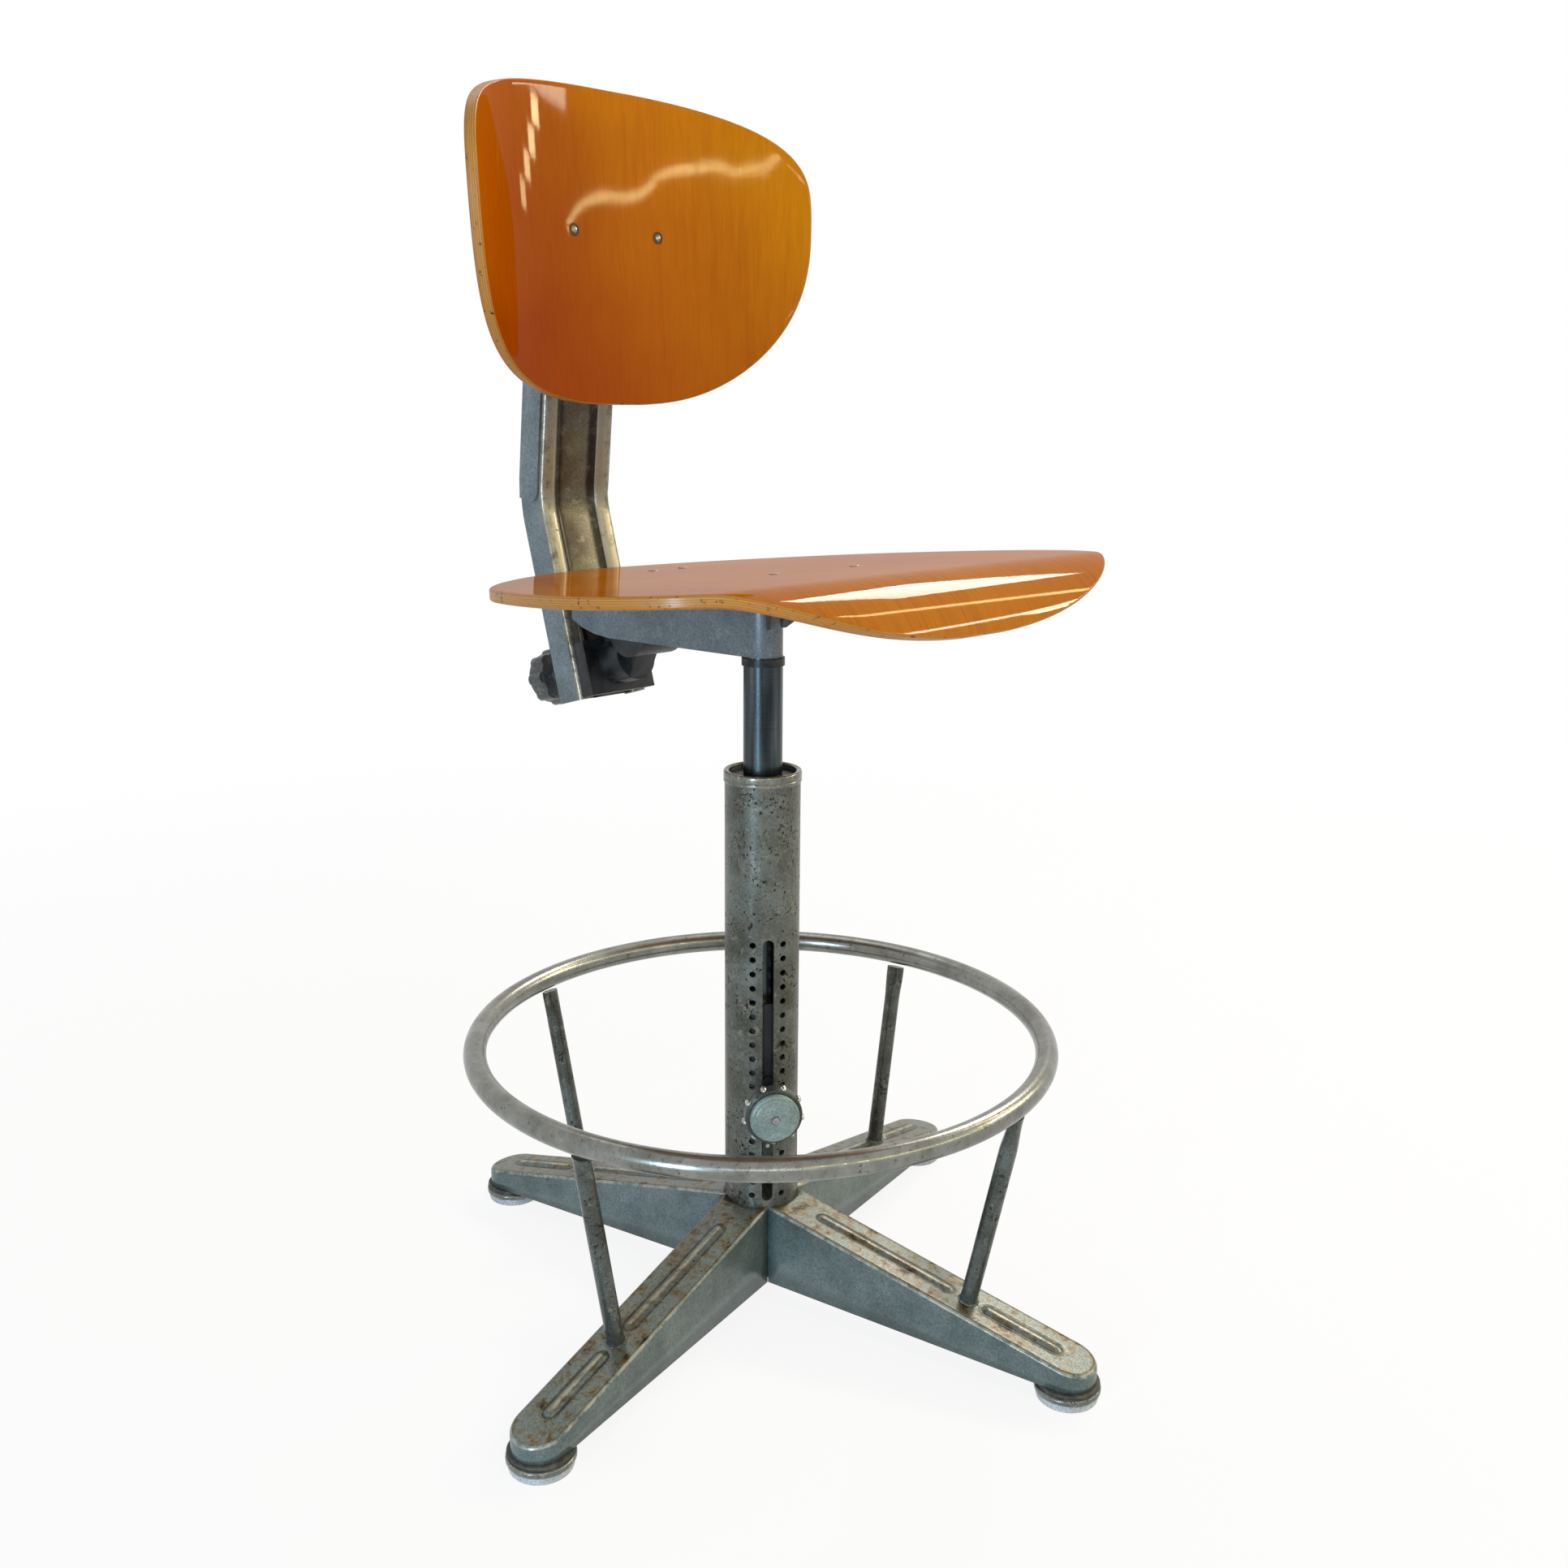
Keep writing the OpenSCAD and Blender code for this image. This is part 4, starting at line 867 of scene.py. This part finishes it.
def ply_edge(name):
    """Cut plies on edge: tan and brown bands about 1.2 mm thick, with dark chips."""
    material, tree, shader, place = finish_named(
        name, {"Roughness": 0.5, "Specular IOR Level": 0.2, "Coat Weight": 0.2, "Coat Roughness": 0.2},
    )
    depth = add(tree, "ShaderNodeAttribute", attribute_name="ply_depth")
    wobble = add(
        tree, "ShaderNodeTexNoise", {"Scale": 120.0, "Detail": 3.0}, {"Vector": place.outputs["Object"]},
    )
    shift = add(tree, "ShaderNodeMath", {1: 0.07}, {0: wobble.outputs["Fac"]}, operation="MULTIPLY_ADD")
    tree.links.new(depth.outputs["Fac"], shift.inputs[2])
    bands = add(
        tree, "ShaderNodeValToRGB", links={"Fac": shift.outputs[0]},
        ramp=[
            (0.0, "#A9680F"), (0.14, "#C28C3A"), (0.17, "#5E3A12"), (0.2, "#B98440"), (0.33, "#C99A52"),
            (0.36, "#6A4519"), (0.39, "#B07C38"), (0.52, "#C9974C"), (0.55, "#5E3A12"), (0.58, "#BC8842"),
            (0.71, "#C4914A"), (0.74, "#64401A"), (0.77, "#B78341"), (1.0, "#A0640F"),
        ],
    )
    chip = add(
        tree, "ShaderNodeTexNoise", {"Scale": 180.0, "Detail": 4.0, "Roughness": 0.7},
        {"Vector": place.outputs["Object"]},
    )
    chips = add(
        tree, "ShaderNodeValToRGB", links={"Fac": chip.outputs["Fac"]}, ramp=[(0.6, 0.0), (0.66, 1.0)],
    )
    tanned = blended(tree, 0.5, bands.outputs["Color"], "#9C5A12")
    tree.links.new(blended(tree, chips.outputs["Color"], tanned, "#3A2410"), shader.inputs["Base Color"])
    bump = add(
        tree, "ShaderNodeBump", {"Strength": 0.3, "Distance": 0.0004}, {"Height": bands.outputs["Color"]},
    )
    tree.links.new(bump.outputs[0], shader.inputs["Normal"])
    return material


seat_varnish = varnished_ply(
    "amber_varnish_on_beech_seat", "#C27600", "#B06600", "#984600", (150.0, 7.0, 7.0),
    (0.0, 0.0, 0.0, 0.15), 0.3,
)
edge_plies = ply_edge("cut_beech_plies")
PLY, EDGE_R = 0.0085, 0.0016


def pressed_shell(outline, bend, count=320, rings=34):
    """A plywood shell from its flat outline, bent by a rule, with rounded edges; returns mesh data."""
    flat = np.array([outline(TURN * k / count) for k in range(count)])
    ahead, behind = np.roll(flat, -1, 0), np.roll(flat, 1, 0)
    along = ahead - behind
    inward = np.stack([-along[:, 1], along[:, 0]], 1)
    inward /= np.linalg.norm(inward, axis=1)[:, None]
    if np.sum(inward * flat) > 0:
        inward = -inward
    verts, faces, depth, marks, loops = [], [], [], [], []

    def ring(points, d):
        """A closed row of points at one depth through the ply."""
        loops.append(list(range(len(verts), len(verts) + count)))
        for x, t in points:
            verts.append(bend(x, t, d))
            depth.append(d / PLY)

    core = flat + inward * EDGE_R
    for d in (0.0, PLY):
        shares = [k / rings for k in range(1, rings)]
        if d:
            shares = shares[::-1]
        if d == 0.0:
            middle_top = len(verts)
            verts.append(bend(0.0, 0.0, 0.0))
            depth.append(0.0)
            for share in shares:
                ring(core * share, 0.0)
            for k in range(6):
                a = math.radians(15 * k)
                ring(core - inward * EDGE_R * math.sin(a), EDGE_R * (1 - math.cos(a)))
            for k in range(13):
                ring(flat, EDGE_R + (PLY - 2 * EDGE_R) * k / 12)
            for k in range(1, 7):
                a = math.radians(90 - 15 * k)
                ring(core - inward * EDGE_R * math.sin(a), PLY - EDGE_R * (1 - math.cos(a)))
        else:
            for share in shares:
                ring(core * share, PLY)
            middle_low = len(verts)
            verts.append(bend(0.0, 0.0, PLY))
            depth.append(1.0)
    for number, (a, b) in enumerate(zip(loops, loops[1:])):
        edge = rings + 1 <= number <= rings + 22
        for k in range(count):
            n = (k + 1) % count
            faces.append((a[k], a[n], b[n], b[k]))
            marks.append(1 if edge else 0)
    for k in range(count):
        n = (k + 1) % count
        faces.append((middle_top, loops[0][n], loops[0][k]))
        faces.append((middle_low, loops[-1][k], loops[-1][n]))
        marks += [0, 0]
    return verts, faces, depth, marks


def shell_piece(name, data, materials, body, cad):
    """A pressed shell as a piece, with the depth through its plies kept for the edge finish."""
    verts, faces, depth, marks = data
    thing = piece(name, verts, faces, materials, body, cad, None, 60, marks)
    layer = thing.data.attributes.new("ply_depth", "FLOAT", "POINT")
    layer.data.foreach_set("value", depth)
    return thing


def power(base, exponent):
    """A power that keeps the sign of its base."""
    return math.copysign(abs(base) ** exponent, base)


SEAT_W, SEAT_FRONT, SEAT_REAR, SEAT_LINE = 0.215, 0.277, 0.160, 0.0445
ROLL_START, ROLL_R = 0.159, 0.055
TIP = math.sin(math.radians(87))
seat_turn = Matrix.Translation((0, 0, 0.607)) @ Matrix.Rotation(math.radians(-4.3), 4, "X")


def seat_outline(a):
    """The seat's outline at an angle: longer in front of its widest line than behind."""
    c, s = math.cos(a), math.sin(a)
    length, n = (SEAT_FRONT, 2.2) if s > 0 else (SEAT_REAR, 1.9)
    t = length * power(max(-TIP, min(TIP, s)), 2 / n)
    return SEAT_W * power(c, 2 / n) * (1 + 0.35 * t / 0.2), t


def seat_bend(x, t, d):
    """A place on the seat: across, forward and through the ply, its front rolled down."""
    t -= SEAT_LINE
    turn = max(0.0, (t - ROLL_START) / ROLL_R)
    y = -(min(t, ROLL_START) + (ROLL_R - d) * math.sin(turn))
    z = -ROLL_R + (ROLL_R - d) * math.cos(turn)
    return seat_turn @ Vector((x, y, z))


shell_piece(
    "seat_pressed", pressed_shell(seat_outline, seat_bend), [seat_varnish, edge_plies], "seat_unit",
    ["seat_shell"],
)

screw_steel = hammered_enamel(
    "dulled_nickel_screw", "#9B917C", "#7C735F", "#D8D0B8", "#2E251A", specks=0.6, roughness=0.3, metal=0.9,
)


def screw_head(radius, height):
    """A raised countersunk head with a cross-cut slot's worth of wear left as a dimple."""
    dome = [
        (radius * math.cos(a), height * math.sin(a)) for a in [math.radians(9 * k) for k in range(0, 10)]
    ]
    return lathe(
        [(0, -0.0002), (radius, -0.0002)] + dome[:-1] + [(0.0006, height * 0.98), (0, height * 0.6)], 40,
    )


def joined(shapes):
    """Several meshes' vertices and faces as one, each put in its own place."""
    verts, faces = [], []
    for (points, polygons), place in shapes:
        start = len(verts)
        verts += [tuple(place @ Vector(p)) for p in points]
        faces += [tuple(start + v for v in face) for face in polygons]
    return verts, faces


shank = lathe([(0, -0.0146), (0.0024, -0.0146), (0.0024, -0.0001), (0, -0.0001)], 24)
spots = [
    seat_turn @ Matrix.Translation((sx * x, y, 0.0001))
    for sx in (-1, 1) for x, y in ((0.016, 0.110), (0.043, -0.054))
]
piece(
    "seat_screw_heads",
    *joined([(screw_head(0.0040, 0.0007), s) for s in spots] + [(shank, s) for s in spots]), screw_steel,
    "seat_unit", ["seat_screws"],
)


# ---- Tilt block, stud and rear knob ----
# A black-enamelled iron casting pivots under the bracket and carries the post on a stud. The rear
# hand knob is a scalloped iron wheel in grey enamel.
block_iron = oiled_black("black_enamel_tilt_block", "#0C0F11", "#2A2C2B", roughness=0.4, metal=0.3)
softened("tilt_block", 0.0012, "back_link", block_iron)
dress(plain_steel, "back_stud", "back_washer")
rear_enamel = hammered_enamel(
    "grey_enamel_rear_knob", "#62625F", "#4E4E4B", "#8B8A84", "#26231F", specks=0.4, roughness=0.4,
    metal=0.4,
)
softened("back_knob", 0.0014, "back_handle", rear_enamel)


# ---- Back post ----
# Sprung sheet steel pressed to a shallow channel with two ridges and a sunk panel, bent once at
# seat height. Enamel is worn beige in the panel and bright along the ridges, with a painted highlight
# there; painted shade lies in the grooves beside the panel.
post_enamel = hammered_enamel(
    "worn_enamel_post", "#665F4E", "#4C4335", "#8E8776", "#1F1811", specks=0.5, rub_and_light=True, roughness=0.3,
    metal=0.45,
)
POST_HALF, POST_DEPTH, POST_WALL, BEND_R = 0.0365, 0.029, 0.002, 0.070
POST_LOW, POST_TAIL, POST_UP, BEND = 0.128, 0.0275, 0.215, math.radians(22.5)
post_turn = Matrix.Translation((0, 0.1875, 0.513)) @ Matrix.Rotation(math.radians(-16), 4, "X")


def post_section(inset):
    """Half of the front from a flange's edge to the middle, as (x, depth, mark), rounded at every fold."""
    corners = [
        (POST_HALF - inset, POST_DEPTH), (POST_HALF - inset, inset * 0.5), (0.0235, inset),
        (0.0185, 0.005 + inset), (0.0, 0.0043 + inset),
    ]
    out = []
    for number, (before, here, after) in enumerate(zip(corners, corners[1:], corners[2:])):
        radius = (0.0055, 0.0052, 0.0035)[number] - (inset if number < 2 else -inset)
        a, b = Vector(before) - Vector(here), Vector(after) - Vector(here)
        reach = min(max(radius, 0.001), a.length * 0.48, b.length * 0.48)
        start, end = Vector(here) + a.normalized() * reach, Vector(here) + b.normalized() * reach
        for k in range(8):
            t = k / 7
            bent = start * (1 - t) ** 2 + Vector(here) * 2 * t * (1 - t) + end * t**2
            # the flange fold and the ridge are marked bright, wear and a painted highlight; the groove by
            # the panel is marked dark, painted shade
            out.append((bent.x, bent.y, (0.74, 0.8, 0.12)[number]))
    side = [
        (POST_HALF - inset, POST_DEPTH, 0.6), (POST_HALF - inset, 0.020, 0.45),
        (POST_HALF - inset, 0.0105, 0.45),
    ]
    middle = [(0.011, 0.0046 + inset, 0.4), (0.006, 0.0044 + inset, 0.5)]
    half = side + out + middle
    return half + [(0.0, 0.0043 + inset, 0.5)] + [(-x, y, w) for x, y, w in reversed(half)]


def post_mesh():
    """The section carried up the lower run, round the bend and up the upper run."""
    stations = [(0.0, -POST_TAIL - POST_LOW + k * (POST_TAIL + POST_LOW) / 30) for k in range(30)]
    stations += [(BEND * k / 16, 0.0) for k in range(17)]
    stations += [(BEND, k * POST_UP / 40) for k in range(1, 41)]
    front, back = post_section(0.0), post_section(POST_WALL)
    loop = front + back[::-1]
    count = len(loop)
    verts, faces, rub_and_light, marks = [], [], [], []
    for a, run in stations:
        for x, y, wear_and_light in loop:
            r = BEND_R + y
            verts.append(
                (
                    x, -BEND_R + r * math.cos(a) - run * math.sin(a),
                    POST_LOW + r * math.sin(a) + run * math.cos(a),
                )
            )
            rub_and_light.append(wear_and_light)
    for i in range(len(stations) - 1):
        for k in range(count):
            n = (k + 1) % count
            faces.append((i * count + k, i * count + n, (i + 1) * count + n, (i + 1) * count + k))
            # the flanks keep their blue-grey paint
            marks.append(1 if min(abs(loop[k][0]), abs(loop[n][0])) > POST_HALF - 0.0004 else 0)
    half = count // 2
    for base, flip in ((0, 1), ((len(stations) - 1) * count, -1)):
        for k in range(half - 1):
            quad = (base + k, base + k + 1, base + count - 2 - k, base + count - 1 - k)
            faces.append(quad[::flip])
            marks.append(0)
    return verts, faces, rub_and_light, marks


bracket_blue = hammered_enamel(
    "blue_grey_enamel_post_cheeks", "#7D8688", "#6A7374", "#98A09F", "#3A3A38", specks=0.2, roughness=0.38,
    metal=0.35, patchy=0.3,
)
post_verts, post_faces, post_rub_and_light, post_marks = post_mesh()
post = piece(
    "back_stem_pressed", post_verts, post_faces, [post_enamel, bracket_blue], "back_post", ["back_stem"],
    post_turn, 50, post_marks,
)
post.data.attributes.new("rub_and_light", "FLOAT", "POINT").data.foreach_set("value", post_rub_and_light)
softened("post_cheeks", 0.0004, "back_post", bracket_blue, 2)
dress(plain_steel, "cheek_rivets", "cheek_pin")


# ---- Back ----
# The same pressed beech ply, its sides curled forward, upright grain. Two screws hold it to a
# folded hinge plate behind.
back_varnish = varnished_ply(
    "amber_varnish_on_beech_back", "#C67800", "#B86A00", "#9A4200", (110.0, 110.0, 5.0),
    (-2.2, 0.0, -2.0, 2.1),
)
CURL, CURL_AT, CURL_POWER = 0.047, 0.160, 3.3
back_turn = Matrix.Translation((0, 0.168, 0.876)) @ Matrix.Rotation(math.radians(-3.5), 4, "X")


def back_outline(a):
    """The back's outline at an angle: taller below its widest line than above."""
    c, s = math.cos(a), math.sin(a)
    height, n = (0.0905, 2.95) if s > 0 else (0.1485, 2.7)
    h = height * power(max(-TIP, min(TIP, s)), 2 / n)
    return 0.168 * power(c, 2 / n) * (1 + 0.02 * h / 0.130), h


def back_bend(x, h, d):
    """A place on the back: across, up and through the ply, its sides curled forward."""
    curl = CURL * (abs(x) / CURL_AT) ** CURL_POWER
    lean = math.atan(CURL * CURL_POWER / CURL_AT * (abs(x) / CURL_AT) ** (CURL_POWER - 1))
    return back_turn @ Vector((x + d * math.copysign(math.sin(lean), x), -curl + d * math.cos(lean), h))


shell_piece(
    "back_pressed", pressed_shell(back_outline, back_bend), [back_varnish, edge_plies], "backrest",
    ["backrest_shell"],
)
hinge_enamel = hammered_enamel(
    "grey_enamel_hinge_plate", "#5D6160", "#4B4F4E", "#7F8380", "#2A2723", specks=0.3, roughness=0.45,
    metal=0.4,
)
softened("backrest_hinge", 0.0006, "backrest", hinge_enamel)
dress(plain_steel, "backrest_nuts")
# the cup round each screw is dark brown
ring_paint = oiled_black("dark_brown_screw_ring", "#2A1A0C", "#4A3218", roughness=0.5, metal=0.1)
facing = Matrix.Rotation(math.pi / 2, 4, "X")
spots = [back_turn @ Matrix.Translation((sx * 0.043, -0.00062, -0.0165)) @ facing for sx in (-1, 1)]
cup = lathe(
    rounded(
        [
            (0, -0.0004), (0.0048, -0.0004), (0.0050, 0.0003), (0.0042, 0.0006), (0.0036, 0.0002),
            (0, 0.0002),
        ],
        0.0002,
    ),
    48,
)
long_shank = lathe([(0, -0.0150), (0.0024, -0.0150), (0.0024, 0.0), (0, 0.0)], 24)
shapes = [(cup, s) for s in spots] + [
    (screw_head(0.0030, 0.0011), s @ Matrix.Translation((0, 0, 0.0002))) for s in spots
]
shapes += [(long_shank, s) for s in spots]
verts, faces = joined(shapes)
cup_faces = 2 * len(cup[1])
piece("back_screw_heads", verts, faces, [ring_paint, screw_steel], "backrest", ["backrest_screws"], None, 50,
      [0 if k < cup_faces else 1 for k in range(len(faces))])


# ---- Room, light and camera ----
# A pale painted floor that keeps the chair's shadow and meets a white surround. Windows, panes and
# thin tubes are rectangular studio lamps, placed where the varnish mirrors them.
def straight_or_mirrored(tree):
    """1 for camera, glossy and transmission rays, 0 for the light that falls on the chair."""
    path = add(tree, "ShaderNodeLightPath")
    seen = add(
        tree, "ShaderNodeMath", links={0: path.outputs["Is Camera Ray"], 1: path.outputs["Is Glossy Ray"]},
        operation="MAXIMUM",
    )
    shown = add(
        tree, "ShaderNodeMath", links={0: seen.outputs[0], 1: path.outputs["Is Transmission Ray"]},
        operation="MAXIMUM",
    )
    return shown.outputs[0]


floor_paint = bpy.data.materials.new("pale_floor_paint")
floor_paint.use_nodes = True
tree = floor_paint.node_tree
tree.nodes.clear()
matt = add(tree, "ShaderNodeBsdfDiffuse", {"Color": (0.9, 0.9, 0.9, 1.0)})
glow = add(tree, "ShaderNodeEmission", {"Color": (1.0, 1.0, 1.0, 1.0), "Strength": 1.0})
shown = straight_or_mirrored(tree)
place = add(tree, "ShaderNodeTexCoord")
away = add(tree, "ShaderNodeVectorMath", links={0: place.outputs["Object"]}, operation="LENGTH")
fade = add(tree, "ShaderNodeMapRange", {1: 0.5, 2: 2.2, 3: 0.88, 4: 1.0}, {0: away.outputs["Value"]})
share = add(tree, "ShaderNodeMath", links={0: shown, 1: fade.outputs[0]}, operation="MULTIPLY")
mixed = add(
    tree, "ShaderNodeMixShader", links={0: share.outputs[0], 1: matt.outputs[0], 2: glow.outputs[0]},
)
add(tree, "ShaderNodeOutputMaterial", links={"Surface": mixed.outputs[0]})
floor_mesh = bpy.data.meshes.new("floor")
floor_mesh.from_pydata([(-30, -30, 0), (30, -30, 0), (30, 30, 0), (-30, 30, 0)], [], [(0, 1, 2, 3)])
floor_mesh.materials.append(floor_paint)
floor = bpy.data.objects.new("floor", floor_mesh)
bpy.context.scene.collection.objects.link(floor)

world = bpy.data.worlds.new("studio")
bpy.context.scene.world = world
world.use_nodes = True
tree = world.node_tree
tree.nodes.clear()
shown = straight_or_mirrored(tree)
dim = add(tree, "ShaderNodeBackground", {"Color": (0.96, 0.98, 1.0, 1.0), "Strength": 0.24})
white = add(tree, "ShaderNodeBackground", {"Color": (1.0, 1.0, 1.0, 1.0), "Strength": 1.0})
mixed = add(tree, "ShaderNodeMixShader", links={0: shown, 1: dim.outputs[0], 2: white.outputs[0]})
add(tree, "ShaderNodeOutputWorld", links={"Surface": mixed.outputs[0]})


def softbox(name, at, to, size, watts, colour="#FFFFFF", mirrored=True, roll=0.0):
    """A rectangular studio lamp; one that is not mirrored only fills shade."""
    lamp = bpy.data.lights.new(name, "AREA")
    lamp.shape = "RECTANGLE"
    lamp.size, lamp.size_y = size
    lamp.energy = watts
    lamp.color = linear(colour)[:3]
    thing = bpy.data.objects.new(name, lamp)
    thing.location = at
    aim = (Vector(to) - Vector(at)).to_track_quat("-Z", "Y").to_matrix()
    thing.rotation_euler = (aim @ Matrix.Rotation(roll, 3, "Z")).to_euler()
    thing.visible_camera = False
    thing.visible_glossy = mirrored
    bpy.context.scene.collection.objects.link(thing)


softbox("left_window", (-2.8, -0.8, 0.55), (0, 0, 0.4), (0.32, 1.05), 62, "#B8DAF8")
softbox("ceiling", (0.6, 1.2, 2.9), (0, 0, 0.5), (1.6, 1.2), 10)
softbox("front_fill", (-0.3, -1.6, 1.9), (0, 0.17, 0.9), (0.8, 0.6), 7, "#FFF8F0", mirrored=False)
softbox("right_window", (2.35, 0.55, 2.45), (0, -0.19, 0.6), (0.9, 0.5), 34, "#FFF8EC")
softbox("right_tube", (2.4, -0.75, 2.4), (0, -0.2, 0.6), (0.12, 0.9), 9, "#FFE2A0")
softbox("low_strip", (-2.1, -2.2, 1.1), (0, 0, 0.25), (1.6, 0.1), 10, "#E4EEFF")
softbox("top_panes", (2.5, -1.35, 1.80), (-0.08, 0.17, 0.92), (1.5, 0.10), 18, "#FFF6E0")
for number, at in enumerate(
    ((2.49, -1.41, 1.70), (2.59, -1.27, 1.62), (2.70, -1.07, 1.55), (2.80, -0.86, 1.47))
):
    softbox(f"pane_{number + 1}", at, (-0.08, 0.17, 0.92), (0.22, 0.07), 4.2 - 0.8 * number, "#FFF4B4")
# a string of thin tubes along the front of the room
run = ((2.75, 1.600), (1.9, 1.650), (0.9, 1.585), (-0.2, 1.550), (-1.1, 1.605), (-2.07, 1.770))
for number, ((x0, z0), (x1, z1)) in enumerate(zip(run, run[1:])):
    reach = math.hypot(x1 - x0, z1 - z0)
    softbox(
        f"front_tube_{number + 1}", ((x0 + x1) / 2, -2.45, (z0 + z1) / 2), ((x0 + x1) / 2, 0.17, 0.87),
        (reach * 0.96, 0.012), 4.0 * reach, "#FFF2A4", roll=math.atan2(z0 - z1, x0 - x1),
    )

lens = bpy.data.cameras.new("camera")
lens.lens = 35.73
lens.sensor_width = 36.0
camera = bpy.data.objects.new("camera", lens)
heading = math.radians(-45) - 0.0140979
camera.matrix_world = (
    Matrix.Translation((-0.8403, -0.8403, 0.7305))
    @ Matrix.Rotation(heading, 4, "Z")
    @ Matrix.Rotation(math.pi / 2 - 0.2403890, 4, "X")
    @ Matrix.Rotation(0.0077571, 4, "Z")
)
bpy.context.scene.collection.objects.link(camera)
bpy.context.scene.camera = camera
bpy.context.scene.view_settings.view_transform = "Standard"
